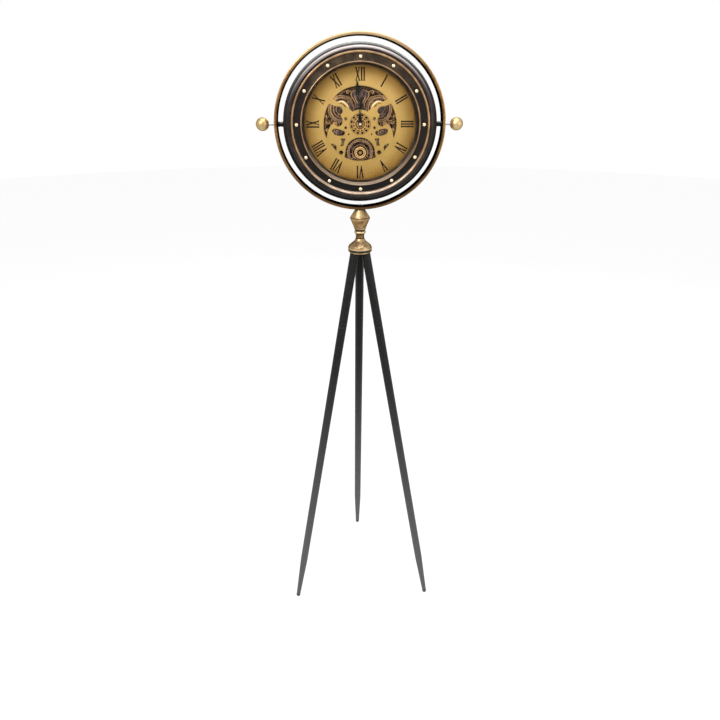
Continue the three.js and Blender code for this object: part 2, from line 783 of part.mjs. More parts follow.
function domeOpening() {
  const [cornerX, cornerZ] = DOME_CORNER_SHARES.map((s) => s * OPENWORK_R);
  const dome = arc(0, -LOWER_DISTANCE, DOME_OPENING_R, 0, 180, 16).map(
    ([x, y]) => new THREE.Vector2(x, y),
  );
  const corner = Math.atan2(cornerZ, cornerX);
  const bottomR = Math.hypot(cornerX, cornerZ);
  return [...dome, ...rim(bottomR, -Math.PI - corner, corner, 8)];
}

function dialPlate() {
  const shape = circlePath(0, 0, DIAL_R, new THREE.Shape());
  const bothSides = (points) => [points, mirrored(points)];
  const outlines = [
    fanOpening(),
    domeOpening(),
    ...bothSides(wingOpening()),
    ...bothSides(fair(inOpenwork(BEAN_SHARES), true).slice(1)),
    ...bothSides(inOpenwork(SLOT_SHARES)),
    ...bothSides(inOpenwork(WEDGE_SHARES)),
  ];
  shape.holes.push(...outlines.map((points) => new THREE.Path(points)));
  const disc = plate(shape, DIAL_Y, DIAL_SHEET, RING_SIDES / 2);
  const front = DIAL_Y - OVERRUN;
  const back = DIAL_Y + OVERRUN;
  const drilled = ROUND_HOLE_SHARES.flatMap(([x, z, radius]) =>
    [x, -x].map((side) =>
      rodAlongY(radius * OPENWORK_R, front, back, 10).translate(
        side * OPENWORK_R,
        0,
        z * OPENWORK_R,
      ),
    ),
  );
  return cut(disc, rodAlongY(CENTRE_OPENING_R, front, back, TURNED_SIDES), ...drilled);
}

// A toothed outline with straight flanks, one tooth centred on the start angle.
function toothedOutline(teeth, pitchR, addendum, dedendum, startAngle) {
  const pitch = (Math.PI * 2 * pitchR) / teeth;
  const slope = Math.tan(radians(TOOTH_FLANK_ANGLE));
  const halfWidth = (pitch * TOOTH_WIDTH_SHARE) / 2;
  const tipR = pitchR + addendum;
  const rootR = pitchR - dedendum;
  const tipHalf = (halfWidth - slope * addendum) / tipR;
  const rootHalf = (halfWidth + slope * dedendum) / rootR;
  const shape = new THREE.Shape();
  for (let tooth = 0; tooth < teeth; tooth += 1) {
    const middle = startAngle + (Math.PI * 2 * tooth) / teeth;
    const corners = [
      [rootR, middle - rootHalf],
      [tipR, middle - tipHalf],
      [tipR, middle + tipHalf],
      [rootR, middle + rootHalf],
    ];
    for (const [radius, angle] of corners) {
      const method = tooth === 0 && angle === middle - rootHalf ? "moveTo" : "lineTo";
      shape[method](radius * Math.cos(angle), radius * Math.sin(angle));
    }
  }
  return shape;
}

const gearOutline = (teeth, startAngle) =>
  toothedOutline(
    teeth,
    (GEAR_MODULE * teeth) / 2,
    GEAR_MODULE * ADDENDUM_SHARE,
    GEAR_MODULE * DEDENDUM_SHARE,
    startAngle,
  );

// Windows of a wheel: equal sectors between a hub and a rim, left by its spokes.
const SPOKE_COUNT = 5;
const SPOKE_SHARE = 0.3;
const HUB_WINDOW_SHARE = 0.3;
const RIM_WINDOW_SHARE = 0.74;

function wheelWindows(pitchR) {
  const step = (Math.PI * 2) / SPOKE_COUNT;
  return Array.from({ length: SPOKE_COUNT }, (_, i) => {
    const from = step * (i + SPOKE_SHARE / 2);
    const to = step * (i + 1 - SPOKE_SHARE / 2);
    const outer = rim(pitchR * RIM_WINDOW_SHARE, from, to, 3);
    const inner = rim(pitchR * HUB_WINDOW_SHARE, to, from, 1);
    return new THREE.Path([...outer, ...inner]);
  });
}

// The start angle that puts a follower in mesh with the centre gear.
function meshAngle(direction, teeth) {
  const along = radians(direction);
  const phase = (along * CENTRE_TEETH) / (Math.PI * 2);
  const offset = 0.5 - (phase - Math.floor(phase));
  return along + Math.PI - ((Math.PI * 2) / teeth) * offset;
}

function satelliteGear(direction) {
  const shape = gearOutline(SATELLITE_TEETH, meshAngle(direction, SATELLITE_TEETH));
  shape.holes.push(...wheelWindows((GEAR_MODULE * SATELLITE_TEETH) / 2));
  const wheel = plate(shape, GEAR_Y, GEAR_H);
  const hub = rodAlongY(GEAR_HUB_R, GEAR_Y, GEAR_PLATE_Y - GAP);
  const bore = rodAlongY(GEAR_PIN_R + GAP, GEAR_Y - OVERRUN, GEAR_PLATE_Y + OVERRUN);
  const [x, z] = polar(GEAR_CENTRE_DISTANCE, direction);
  return cut(join(wheel, hub), bore).translate(x, 0, z);
}

const CENTRE_HOLE_COUNT = 12;
const CENTRE_HOLE_SHARE = 0.8;
const CENTRE_HOLE_R_SHARE = 0.08;

function centreGear() {
  const shape = gearOutline(CENTRE_TEETH, 0);
  const wheel = plate(shape, GEAR_Y, GEAR_H);
  const face = rodAlongY(CENTRE_OPENING_R - GAP * 3, DIAL_Y, GEAR_Y + GEAR_H / 2, TURNED_SIDES);
  const hub = rodAlongY(BUSHING_R + GEAR_H, GEAR_Y, GEAR_PLATE_Y - GAP, TURNED_SIDES);
  const bore = rodAlongY(BUSHING_R + GAP, DIAL_Y - OVERRUN, GEAR_PLATE_Y, SMALL_SIDES);
  const holes = roundTheDial(
    CENTRE_HOLE_COUNT,
    CENTRE_OPENING_R * CENTRE_HOLE_SHARE,
    15,
    () => rodAlongY(CENTRE_OPENING_R * CENTRE_HOLE_R_SHARE, DIAL_Y - OVERRUN, OVERRUN, SCREW_SIDES),
  );
  return cut(join(wheel, face, hub), bore, ...holes);
}

function lowerGear() {
  const shape = gearOutline(LOWER_TEETH, meshAngle(LOWER_DIRECTION, LOWER_TEETH));
  shape.holes.push(...wheelWindows((GEAR_MODULE * LOWER_TEETH) / 2));
  const wheel = plate(shape, GEAR_Y, GEAR_H);
  const hub = rodAlongY(GEAR_HUB_R, GEAR_Y, GEAR_PLATE_Y - GAP);
  const arbor = rodAlongY(LOWER_ARBOR_R, DIAL_Y, MOVEMENT_FRONT_Y + GEAR_H);
  return join(wheel, hub, arbor).translate(0, 0, -LOWER_DISTANCE);
}

function lowerPinion() {
  const shape = toothedOutline(PINION_TEETH, PINION_R - PINION_TOOTH_H, PINION_TOOTH_H, 0, 0);
  const wheel = plate(shape, DIAL_Y - DIAL_SHEET, GEAR_Y - GAP - DIAL_Y + DIAL_SHEET);
  const hub = rodAlongY(PINION_HUB_R, DIAL_Y - DIAL_SHEET * 2, GEAR_Y - GAP * 2);
  const bore = rodAlongY(LOWER_ARBOR_R + GAP, DIAL_Y - DIAL_SHEET / 2, GEAR_Y + OVERRUN);
  return cut(join(wheel, hub), bore).translate(0, 0, -LOWER_DISTANCE);
}

// The plate that carries the gears, with its pins and the posts up to the dial.
function gearPlate() {
  const shape = circlePath(0, 0, GEAR_PLATE_R, new THREE.Shape());
  const sheet = plate(shape, GEAR_PLATE_Y, GEAR_PLATE_SHEET, RING_SIDES / 2);
  const inSheet = GEAR_PLATE_Y + GEAR_PLATE_SHEET / 2;
  const pins = Object.values(GEAR_DIRECTIONS).map((direction) => {
    const [x, z] = polar(GEAR_CENTRE_DISTANCE, direction);
    return rodAlongY(GEAR_PIN_R, GEAR_Y - GAP * 2, inSheet).translate(x, 0, z);
  });
  const posts = roundTheDial(PILLAR_COUNT, POST_CIRCLE_R, 30, () =>
    rodAlongY(POST_R, DIAL_BACK_Y + GAP, inSheet, SCREW_SIDES),
  );
  const back = GEAR_PLATE_Y + OVERRUN;
  return cut(
    join(sheet, ...pins, ...posts),
    rodAlongY(BUSHING_R + GAP, GEAR_PLATE_Y - OVERRUN, back),
    rodAlongY(LOWER_ARBOR_R + GAP, GEAR_PLATE_Y - GAP, back).translate(0, 0, -LOWER_DISTANCE),
  );
}

// The clock movement, with its bushing through the gears and its battery bay behind.
function movementCase() {
  const box = block(0, 0, MOVEMENT_W, MOVEMENT_W, MOVEMENT_FRONT_Y, MOVEMENT_BACK_Y);
  const bushing = rodAlongY(BUSHING_R, HOUR_HAND_Y + HAND_SHEET + GAP, MOVEMENT_FRONT_Y + GAP);
  const boreEnd = MOVEMENT_FRONT_Y + GEAR_H;
  const bore = rodAlongY(BUSHING_BORE_R, HOUR_HAND_Y - OVERRUN, boreEnd);
  const bay = block(
    0,
    batteryZ,
    BATTERY_LENGTH + BATTERY_BAY_MARGIN * 2,
    (BATTERY_R + BATTERY_BAY_MARGIN) * 2,
    MOVEMENT_BACK_Y - BATTERY_R * 2,
    MOVEMENT_BACK_Y + OVERRUN,
  );
  const knobHole = rodAlongY(SET_KNOB_STEM_R + GAP, MOVEMENT_BACK_Y - GEAR_H, MOVEMENT_BACK_Y + OVERRUN);
  return cut(join(box, bushing), bore, bay, knobHole.translate(0, 0, setKnobZ));
}

const battery = () =>
  rodAlongX(BATTERY_R, -BATTERY_LENGTH / 2, BATTERY_LENGTH / 2).translate(
    0,
    MOVEMENT_BACK_Y - BATTERY_R + GAP,
    batteryZ,
  );

function setKnob() {
  const wheel = rodAlongY(SET_KNOB_R, MOVEMENT_BACK_Y + GAP, MOVEMENT_BACK_Y + SET_KNOB_H);
  const stem = rodAlongY(SET_KNOB_STEM_R, MOVEMENT_BACK_Y - GEAR_H + GAP, MOVEMENT_BACK_Y + GAP * 2);
  return join(wheel, stem).translate(0, 0, setKnobZ);
}

function gearMotor() {
  const box = block(0, -LOWER_DISTANCE, MOTOR_W, MOTOR_H, MOVEMENT_FRONT_Y, MOVEMENT_BACK_Y);
  const bore = rodAlongY(
    LOWER_ARBOR_R + GAP,
    MOVEMENT_FRONT_Y - OVERRUN,
    MOVEMENT_FRONT_Y + GEAR_H + GAP,
  );
  return cut(box, bore.translate(0, 0, -LOWER_DISTANCE));
}

// A lance-shaped hand pointing at twelve: shares are [of the width, of the length].
const LANCE_SHARES = [
  [0.34, 0.08],
  [0.09, 0.3],
  [0.09, 0.56],
  [0.5, 0.74],
  [0.14, 0.92],
];

function handPlate(length, width, frontY) {
  const right = LANCE_SHARES.map(([x, z]) => new THREE.Vector2(x * width, z * length));
  const outline = [
    new THREE.Vector2(0, -HAND_BOSS_R / 2),
    ...right,
    new THREE.Vector2(0, length),
    ...mirrored(right).reverse(),
  ];
  const blade = plate(new THREE.Shape(outline), frontY, HAND_SHEET);
  return join(blade, rodAlongY(HAND_BOSS_R, frontY, frontY + HAND_SHEET));
}

// A positive clock angle turns a hand clockwise for a viewer in front.
const atClockAngle = (geometry, angle) => geometry.rotateY(radians(angle));

function hourHand() {
  const tubeR = BUSHING_BORE_R - GAP;
  const blade = handPlate(HOUR_HAND_LENGTH, HOUR_HAND_W, HOUR_HAND_Y);
  const tube = rodAlongY(tubeR, HOUR_HAND_Y, MOVEMENT_FRONT_Y);
  const bore = rodAlongY(tubeR - HOUR_TUBE_WALL, HOUR_HAND_Y - OVERRUN, MOVEMENT_FRONT_Y + OVERRUN);
  return atClockAngle(cut(join(blade, tube), bore), HOUR_HAND_ANGLE);
}

const minuteShaftR = BUSHING_BORE_R - GAP * 2 - HOUR_TUBE_WALL;

function minuteHand() {
  const blade = handPlate(MINUTE_HAND_LENGTH, MINUTE_HAND_W, MINUTE_HAND_Y);
  const shaft = rodAlongY(minuteShaftR, MINUTE_HAND_Y - HAND_NUT_H / 2, MOVEMENT_FRONT_Y + GAP);
  return atClockAngle(join(blade, shaft), MINUTE_HAND_ANGLE);
}

function handNut() {
  const front = MINUTE_HAND_Y - GAP - HAND_NUT_H;
  const cap = rodAlongY(HAND_NUT_R, front, MINUTE_HAND_Y - GAP);
  const bore = rodAlongY(minuteShaftR + GAP, MINUTE_HAND_Y - HAND_NUT_H / 2 - GAP * 2, 0);
  return cut(cap, bore);
}

// Assembly
const clock = new THREE.Group();
const stand = new THREE.Group();
stand.position.set(0, STEM_Y, 0);
clock.add(stand);

for (const [side, azimuth] of Object.entries(LEG_AZIMUTHS)) {
  const leg = new THREE.Group();
  leg.rotation.z = radians(azimuth);
  stand.add(leg);
  piece(leg, `leg_upper_${side}`, legUpper(), blackPaint);
  piece(leg, `leg_lower_${side}`, leaned(legLower()), blackPaint);
  piece(leg, `foot_${side}`, foot(), rubber);
}
piece(stand, "leg_hub", legHub(), agedBrass);
piece(stand, "stem_collar", stemCollar(), blackPaint);
piece(stand, "stem_bell", stemBell(), agedBrass);
piece(stand, "stem_neck", stemNeck(), agedBrass);
piece(stand, "urn_cup", urnCup(), agedBrass);
piece(stand, "urn_cap", urnCap(), agedBrass);
piece(stand, "tie_bolt", tieBolt(), steel);

const head = new THREE.Group();
head.position.set(0, 0, HEAD_Z);
stand.add(head);
piece(head, "yoke_ring", yokeRing(), agedBrass);

for (const [side, turn] of [["right", 0], ["left", Math.PI]]) {
  const pivot = new THREE.Group();
  pivot.rotation.z = turn;
  head.add(pivot);
  piece(pivot, `ball_knob_${side}`, ballKnob(), agedBrass);
  piece(pivot, `tilt_bolt_${side}`, tiltBolt(), steel);
  piece(pivot, `tilt_spacer_${side}`, tiltSpacer(), steel);
}

piece(head, "case_shell", caseShell(), agedBronze);
piece(head, "rear_cover", rearCover(), agedBronze);
for (let place = 0; place < COVER_SCREW_COUNT; place += 1) {
  const [x, z] = polar(COVER_SCREW_CIRCLE_R, 90 + (360 / COVER_SCREW_COUNT) * place);
  piece(head, `cover_screw_${place + 1}`, coverScrew(), steel).position.set(x, 0, z);
}
piece(head, "bezel", bezel(), agedBronze);
piece(head, "glass", glass(), glassClear);
piece(head, "glass_gasket", gasket(), rubber);
piece(head, "dial_spacer", dialSpacer(), agedBronze);
piece(head, "dial_plate", dialPlate(), dialGold);
for (let hour = 1; hour <= BEZEL_SCREW_COUNT; hour += 1) {
  const angle = 90 - (360 / BEZEL_SCREW_COUNT) * hour;
  const [x, z] = polar(SCREW_CIRCLE_R, angle);
  const name = `bezel_screw_${String(hour).padStart(2, "0")}`;
  piece(head, name, bezelScrew(), agedBrass).position.set(x, 0, z);
}

piece(head, "gear_plate", gearPlate(), gearBronze);
piece(head, "gear_centre", centreGear(), dialGold);
piece(head, "gear_lower", lowerGear(), gearBronze);
piece(head, "pinion_lower", lowerPinion(), dialGold);
for (const [side, direction] of Object.entries(GEAR_DIRECTIONS)) {
  piece(head, `gear_${side}`, satelliteGear(direction), gearBronze);
}

piece(head, "movement_case", movementCase(), blackPlastic);
piece(head, "battery", battery(), batteryJacket);
piece(head, "set_knob", setKnob(), blackPlastic);
piece(head, "gear_motor", gearMotor(), blackPlastic);
piece(head, "hour_hand", hourHand(), handBlack);
piece(head, "minute_hand", minuteHand(), handBlack);
piece(head, "hand_nut", handNut(), agedBrass);

export default clock;
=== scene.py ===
# %% [markdown]
# # A tripod floor clock, piece by piece
#
# The clock is a round head with a pierced dial. It tilts between two ball knobs inside an
# upright ring, and the ring stands on a turned stem with three splayed tube legs.
# The CAD model gives every size and place. It is loaded first and never moved, and each
# finer piece below is made around it. The lesson works as a workshop would: legs, stem,
# ring, case, dial, wheels and hands, and then the finishes, the light and the camera.

# %% Load the frame
import json
from math import atan2, cos, degrees, floor, hypot, pi, radians, sin, tan

import bpy
from mathutils import Matrix, Vector


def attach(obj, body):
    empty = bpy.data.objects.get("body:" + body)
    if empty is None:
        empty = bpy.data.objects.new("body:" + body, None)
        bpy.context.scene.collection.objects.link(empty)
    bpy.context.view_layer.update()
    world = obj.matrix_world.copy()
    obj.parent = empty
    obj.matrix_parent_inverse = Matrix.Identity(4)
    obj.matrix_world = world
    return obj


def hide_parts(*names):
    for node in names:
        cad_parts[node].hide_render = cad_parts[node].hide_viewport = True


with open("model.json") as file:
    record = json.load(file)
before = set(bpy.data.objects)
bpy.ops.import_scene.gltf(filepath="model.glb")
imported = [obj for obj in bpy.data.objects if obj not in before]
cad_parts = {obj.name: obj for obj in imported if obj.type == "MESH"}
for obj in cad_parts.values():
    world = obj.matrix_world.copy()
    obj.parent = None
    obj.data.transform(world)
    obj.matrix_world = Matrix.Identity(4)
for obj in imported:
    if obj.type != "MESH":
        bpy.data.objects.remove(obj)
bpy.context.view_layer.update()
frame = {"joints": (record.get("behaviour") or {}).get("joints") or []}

# %% [markdown]
# ## Shared places
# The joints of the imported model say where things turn. The tilt joint gives the middle of
# the head, and the stem stands right under it. Sizes are written in millimetres, as on a
# drawing, and become metres at the moment a piece is made.

# %% Places taken from the joints
MM = 0.001
joint_places = {joint["name"]: Vector(joint["pos_m"]) for joint in frame["joints"]}
HEAD = joint_places["head_tilt"]
STEM = Vector((0, HEAD.y, 0))
print("head centre", [round(value, 5) for value in HEAD])


def on_head(x=0.0, y=0.0, z=0.0):
    """A place given in millimetres from the middle of the head."""
    return HEAD + Vector((x, y, z)) * MM


# %% [markdown]
# ## Drawing lines
# Every outline is a list of points. A polar place, an arc, an oval arc, a full circle and a
# smooth line through a few chosen points cover all of them. The smooth line is the
# Catmull-Rom curve, which passes through its points as a bent steel rule would.

# %% Points, arcs and smooth lines
def polar(radius, direction):
    """A point at a radius and a direction in degrees, anticlockwise from three o'clock."""
    return (radius * cos(radians(direction)), radius * sin(radians(direction)))


def bow(across, along, radius, start, end, steps=8):
    """Points of an arc round (across, along), from one direction to another."""
    turns = [start + (end - start) * step / steps for step in range(steps + 1)]
    return [(across + x, along + y) for x, y in (polar(radius, turn) for turn in turns)]


def oval(across, along, reach_across, reach_along, start, end, steps=8):
    """A part of an ellipse, for pressed shoulders and low domes."""
    turns = [start + (end - start) * step / steps for step in range(steps + 1)]
    return [
        (across + reach_across * cos(radians(turn)), along + reach_along * sin(radians(turn)))
        for turn in turns
    ]


def around(count, radius, across=0, along=0, start=0):
    """Places spaced evenly round a circle."""
    places = [polar(radius, start + 360 * place / count) for place in range(count)]
    return [(across + x, along + y) for x, y in places]


def circle(radius, count=24, across=0, along=0):
    """A full circle of so many points, for a hole or a rim."""
    return bow(across, along, radius, 0, 360 - 360 / count, count - 1)


def fair(points, steps=8, closed=False):
    """A smooth line through the points."""
    marks = [Vector(point[:2]) for point in points]
    count = len(marks)
    if not closed:
        marks = [2 * marks[0] - marks[1], *marks, 2 * marks[-1] - marks[-2]]
    spans = count if closed else count - 1
    shift = -1 if closed else 0
    line = []
    for span in range(spans):
        a, b, c, d = (marks[(span + shift + i) % len(marks)] for i in range(4))
        for step in range(steps):
            t = step / steps
            point = 2 * b + (c - a) * t + (2 * a - 5 * b + 4 * c - d) * t ** 2
            point += (3 * b - a - 3 * c + d) * t ** 3
            line.append((point.x / 2, point.y / 2))
    return line if closed else [*line, tuple(points[-1][:2])]


def mirrored(points):
    """The same line on the left of the clock."""
    return [(-x, y) for x, y in points]


# %% [markdown]
# ## The bench: selecting, applying and smoothing
# Operators work on whatever is selected, and the CAD nodes come in selected. So one helper
# deselects everything before it adds an object, another selects only the named pieces, and
# all the others go through these two. A finished piece has its place in its mesh and its
# origin at the world's origin, like a CAD node.

# %% Adding, selecting and finishing a piece
def added(operator, name, **settings):
    """Adds an object with nothing else selected, and names it."""
    bpy.ops.object.select_all(action="DESELECT")
    operator(**settings)
    piece = bpy.context.object
    piece.name = name
    return piece


def only(*pieces):
    """Selects these pieces and nothing else. The first becomes the active one."""
    if bpy.context.mode != "OBJECT":
        bpy.ops.object.mode_set(mode="OBJECT")
    bpy.ops.object.select_all(action="DESELECT")
    for piece in pieces:
        piece.select_set(True)
    bpy.context.view_layer.objects.active = pieces[0]


def seat(piece, place=(0, 0, 0), turn=None, smooth=32):
    """Puts a piece where it belongs, writes that into its mesh, and smooths its shading."""
    only(piece)
    piece.matrix_world = Matrix.Translation(place) @ (turn or Matrix.Identity(4))
    bpy.ops.object.transform_apply(location=True, rotation=True, scale=True)
    bpy.ops.object.shade_smooth_by_angle(angle=radians(smooth))
    return piece


def weld(piece):
    """Merges doubled points and turns every face outwards."""
    only(piece)
    bpy.ops.object.mode_set(mode="EDIT")
    bpy.ops.mesh.select_all(action="SELECT")
    bpy.ops.mesh.remove_doubles(threshold=0.002 * MM)
    bpy.ops.mesh.normals_make_consistent(inside=False)
    bpy.ops.object.mode_set(mode="OBJECT")
    return piece


# %% [markdown]
# ## The lathe
# Most of this clock is turned or spun: stem, knobs, screws, bezel and case. The way to make
# such a piece is to draw half of its section and spin it. The section starts as a small
# plane merged to one vertex, which is extruded from corner to corner. Where corners should
# be round, a vertex bevel rounds them before the spin, which is far cheaper than a bevel
# on the finished piece.

# %% A section, extruded point by point and spun
AXIS_MAPS = {
    "X": lambda radius, along: Vector((along, radius, 0)) * MM,
    "Y": lambda radius, along: Vector((radius, along, 0)) * MM,
    "Z": lambda radius, along: Vector((radius, 0, along)) * MM,
}
AXIS_LINES = {"X": (1, 0, 0), "Y": (0, 1, 0), "Z": (0, 0, 1)}


def drawn_line(name, corners):
    """One vertex, extruded from corner to corner. It stays in edit mode."""
    line = added(bpy.ops.mesh.primitive_plane_add, name, size=MM)
    bpy.ops.object.mode_set(mode="EDIT")
    bpy.ops.mesh.select_all(action="SELECT")
    bpy.ops.mesh.merge(type="CENTER")
    bpy.ops.transform.translate(value=corners[0])
    for near, far in zip(corners, corners[1:]):
        bpy.ops.mesh.extrude_region_move(TRANSFORM_OT_translate={"value": far - near})
    return line


def turned(
    name, section, axis="Z", steps=64, round_by=0.0, place=(0, 0, 0), turn=None, smooth=32
):
    """Spins a section of (radius, along) points. It is closed if it doesn't reach the axis."""
    bored = min(radius for radius, _ in section) > 0
    points = [*section, section[0]] if bored else section
    piece = drawn_line(name, [AXIS_MAPS[axis](*point) for point in points])
    bpy.ops.mesh.select_all(action="SELECT")
    bpy.ops.mesh.remove_doubles(threshold=0.002 * MM)
    if round_by:
        bpy.ops.mesh.select_all(action="SELECT")
        bpy.ops.mesh.bevel(offset=round_by * MM, segments=3, affect="VERTICES", clamp_overlap=True)
    bpy.ops.mesh.select_all(action="SELECT")
    bpy.ops.mesh.spin(steps=steps, angle=2 * pi, center=(0, 0, 0), axis=AXIS_LINES[axis])
    bpy.ops.object.mode_set(mode="OBJECT")
    weld(piece)
    return seat(piece, place, turn, smooth)


# %% [markdown]
# ## The fretsaw
# The dial, the wheels and the hands are cut from sheet. A flat curve does this best: its
# first outline is the rim, the others are windows, and the curve's own bevel breaks every
# sawn edge. It becomes a mesh before its place is applied.

# %% Sheet cut along flat outlines
def fretted(name, outlines, thickness, edge, place, turn=None, smooth=15):
    """A sheet in the plane of the dial. The place is the middle of its thickness."""
    piece = added(bpy.ops.object.add, name, type="CURVE")
    drawing = piece.data
    drawing.dimensions = "2D"
    drawing.fill_mode = "BOTH"
    drawing.extrude = (thickness / 2 - edge) * MM
    drawing.bevel_depth = edge * MM
    drawing.bevel_resolution = 1
    drawing.offset = -edge * MM
    for outline in outlines:
        spline = drawing.splines.new("POLY")
        spline.points.add(len(outline) - 1)
        for point, (x, z) in zip(spline.points, outline):
            point.co = (x * MM, z * MM, 0, 1)
        spline.use_cyclic_u = True
    bpy.ops.object.convert(target="MESH")
    weld(piece)
    upright = Matrix.Rotation(pi / 2, 4, "X")
    return seat(piece, place, (turn or Matrix.Identity(4)) @ upright, smooth)


# %% [markdown]
# ## The drill, the solder and the pattern copy
# Holes are cut with a Boolean modifier that is applied at once. Pieces that are one part in
# the real clock are joined. A part that repeats is made once and copied with its own mesh.

# %% Cutting, fusing, joining and copying
def worked_with(piece, tools, how):
    """Uses each tool on the piece with a Boolean, and throws the tool away."""
    for tool in tools:
        step = piece.modifiers.new("shop_step", "BOOLEAN")
        step.operation = how
        step.solver = "EXACT"
        step.object = tool
        only(piece)
        bpy.ops.object.modifier_apply(modifier=step.name)
        bpy.data.objects.remove(tool)
    bpy.ops.object.shade_smooth_by_angle(angle=radians(32))
    return piece


def cut_with(piece, *tools):
    return worked_with(piece, tools, "DIFFERENCE")


def fused_with(piece, *tools):
    return worked_with(piece, tools, "UNION")


def joined(piece, *others):
    only(piece, *others)
    bpy.ops.object.join()
    return piece


def copy_of(piece, name, place=(0, 0, 0), turn=None):
    only(piece)
    bpy.ops.object.duplicate()
    twin = bpy.context.object
    twin.name = name
    twin.matrix_world = Matrix.Translation(place) @ (turn or Matrix.Identity(4))
    bpy.ops.object.transform_apply(location=True, rotation=True, scale=True)
    return twin


def about_y(clockwise_degrees):
    """A turn that someone in front of the dial sees as clockwise."""
    return Matrix.Rotation(radians(clockwise_degrees), 4, "Y")


def rod(name, axis, radius, start, end, place=(0, 0, 0), steps=32, round_by=0.0, turn=None):
    """A plain turned rod, mostly used as a drill or as the core of a piece."""
    section = [(0, start), (radius, start), (radius, end), (0, end)]
    return turned(name, section, axis, steps, round_by, place, turn)


def block(name, width, height, front, back, x=0.0, z=0.0, edge=0.0):
    """A box on the head, from its width and height and its two depths behind the axis."""
    middle = on_head(x, (front + back) / 2, z)
    piece = added(bpy.ops.mesh.primitive_cube_add, name, size=1, location=middle)
    piece.scale = (width * MM, (back - front) * MM, height * MM)
    bpy.ops.object.transform_apply(location=True, rotation=True, scale=True)
    if edge:
        bpy.ops.object.mode_set(mode="EDIT")
        bpy.ops.mesh.select_all(action="SELECT")
        bpy.ops.mesh.bevel(offset=edge * MM, segments=3, affect="EDGES")
        bpy.ops.object.mode_set(mode="OBJECT")
    bpy.ops.object.shade_smooth_by_angle(angle=radians(32))
    return piece


# %% [markdown]
# ## Saying what a piece is
# Each piece rides on a body of the model and hides the CAD node that it stands for. The
# table of finished pieces also collects which finish each one gets, so that the finishes
# can be made later, in cells of their own.

# %% Registering pieces
finish_of = {}


def declare(piece, body, slot, finish, *nodes):
    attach(piece, body)
    if nodes:
        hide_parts(*nodes)
    finish_of[piece.name] = finish
    faces = len(piece.data.polygons)
    print(f"{piece.name}: {faces} faces, rides {body}")
    return piece


# %% [markdown]
# ## Legs
# Each leg is two steel tubes. The lower one tapers towards its end and slides with a thin
# sleeve into the upper one, which leaves the fine joint line seen about a fifth of the way
# down. A rubber foot is plugged into the end. One leg is turned upright on its own axis,
# leaned, and copied round the stem. A scaled cylinder would do for the tube, but a section
# also gives the joint its small chamfers and the foot its dome.

# %% Leg sizes
GAP = 0.3
SAW = 400
FOOT_CIRCLE_R = 191
FOOT_DOME_R = 5
FOOT_CENTRE_Z = 4.3
FOOT_CUFF_H = 4
FOOT_PLUG_R = 3.1
FOOT_PLUG_H = 18
HUB_UNDERSIDE_Z = 901
HUB_R = 24.9
HUB_H = 3.4
LEG_TOP_CIRCLE_R = 14.8
LEG_R = 10.1
LEG_WALL = 1.2
LEG_UPPER_LENGTH = 178.7
LEG_SPIGOT_LENGTH = 40
LEG_TAPER_R = 8.7
LEG_TAPER_LENGTH = 100
leg_rise = HUB_UNDERSIDE_Z - FOOT_CENTRE_Z
leg_spread = FOOT_CIRCLE_R - LEG_TOP_CIRCLE_R
leg_lean = atan2(leg_spread, leg_rise)
leg_length = hypot(leg_spread, leg_rise)
leg_joint = leg_length - LEG_UPPER_LENGTH
leg_bore_r = LEG_R - LEG_WALL
spigot_r = leg_bore_r - GAP
LEG_AZIMUTHS = {"left": 210, "right": 330, "rear": 90}
print(f"legs {leg_length:.1f} mm long, leaning {degrees(leg_lean):.2f} degrees")


def leg_turn(azimuth):
    """From a leg's own upright axis to its place under the stem."""
    out = Matrix.Translation(Vector((FOOT_CIRCLE_R, 0, FOOT_CENTRE_Z)) * MM)
    lean = Matrix.Rotation(-leg_lean, 4, "Y")
    return Matrix.Translation(STEM) @ Matrix.Rotation(radians(azimuth), 4, "Z") @ out @ lean


# %% Tubes and feet, one of each, then copied
tube_top = leg_length + 2
upper_section = [
    (leg_bore_r, leg_joint),
    (LEG_R - 0.5, leg_joint),
    (LEG_R, leg_joint + 0.5),
    (LEG_R, tube_top),
    (leg_bore_r, tube_top),
]
lower_end = FOOT_CUFF_H + GAP
lower_top = leg_joint - GAP
sleeve_bore = spigot_r - 1.5
lower_section = [
    (FOOT_DOME_R - 0.3, lower_end),
    (FOOT_DOME_R, lower_end + 0.4),
    (LEG_TAPER_R, lower_end + LEG_TAPER_LENGTH),
    (LEG_R, lower_top - 0.6),
    (LEG_R - 0.6, lower_top),
    (spigot_r, lower_top),
    (spigot_r, leg_joint + LEG_SPIGOT_LENGTH),
    (sleeve_bore, leg_joint + LEG_SPIGOT_LENGTH),
    (sleeve_bore, lower_top - 3),
    (leg_bore_r, lower_top - 6),
    (LEG_TAPER_R - LEG_WALL, lower_end + LEG_TAPER_LENGTH),
    (FOOT_PLUG_R + GAP, lower_end),
]
plug_top = FOOT_CUFF_H + FOOT_PLUG_H
foot_section = [
    *bow(0, 0, FOOT_DOME_R, -90, 0, 10),
    (FOOT_DOME_R, FOOT_CUFF_H - 0.4),
    (FOOT_DOME_R - 0.4, FOOT_CUFF_H),
    (FOOT_PLUG_R, FOOT_CUFF_H),
    (FOOT_PLUG_R, plug_top - 0.8),
    (FOOT_PLUG_R - 0.8, plug_top),
    (0, plug_top),
]
foot_section[0] = (0, -FOOT_DOME_R)


def trimmed(piece, height, keep_below):
    """Saws a piece level at a height and closes the cut."""
    only(piece)
    bpy.ops.object.mode_set(mode="EDIT")
    bpy.ops.mesh.select_all(action="SELECT")
    bpy.ops.mesh.bisect(
        plane_co=(0, 0, height * MM),
        plane_no=(0, 0, 1),
        clear_outer=keep_below,
        clear_inner=not keep_below,
        use_fill=True,
        threshold=0.001 * MM,
    )
    bpy.ops.object.mode_set(mode="OBJECT")
    return piece


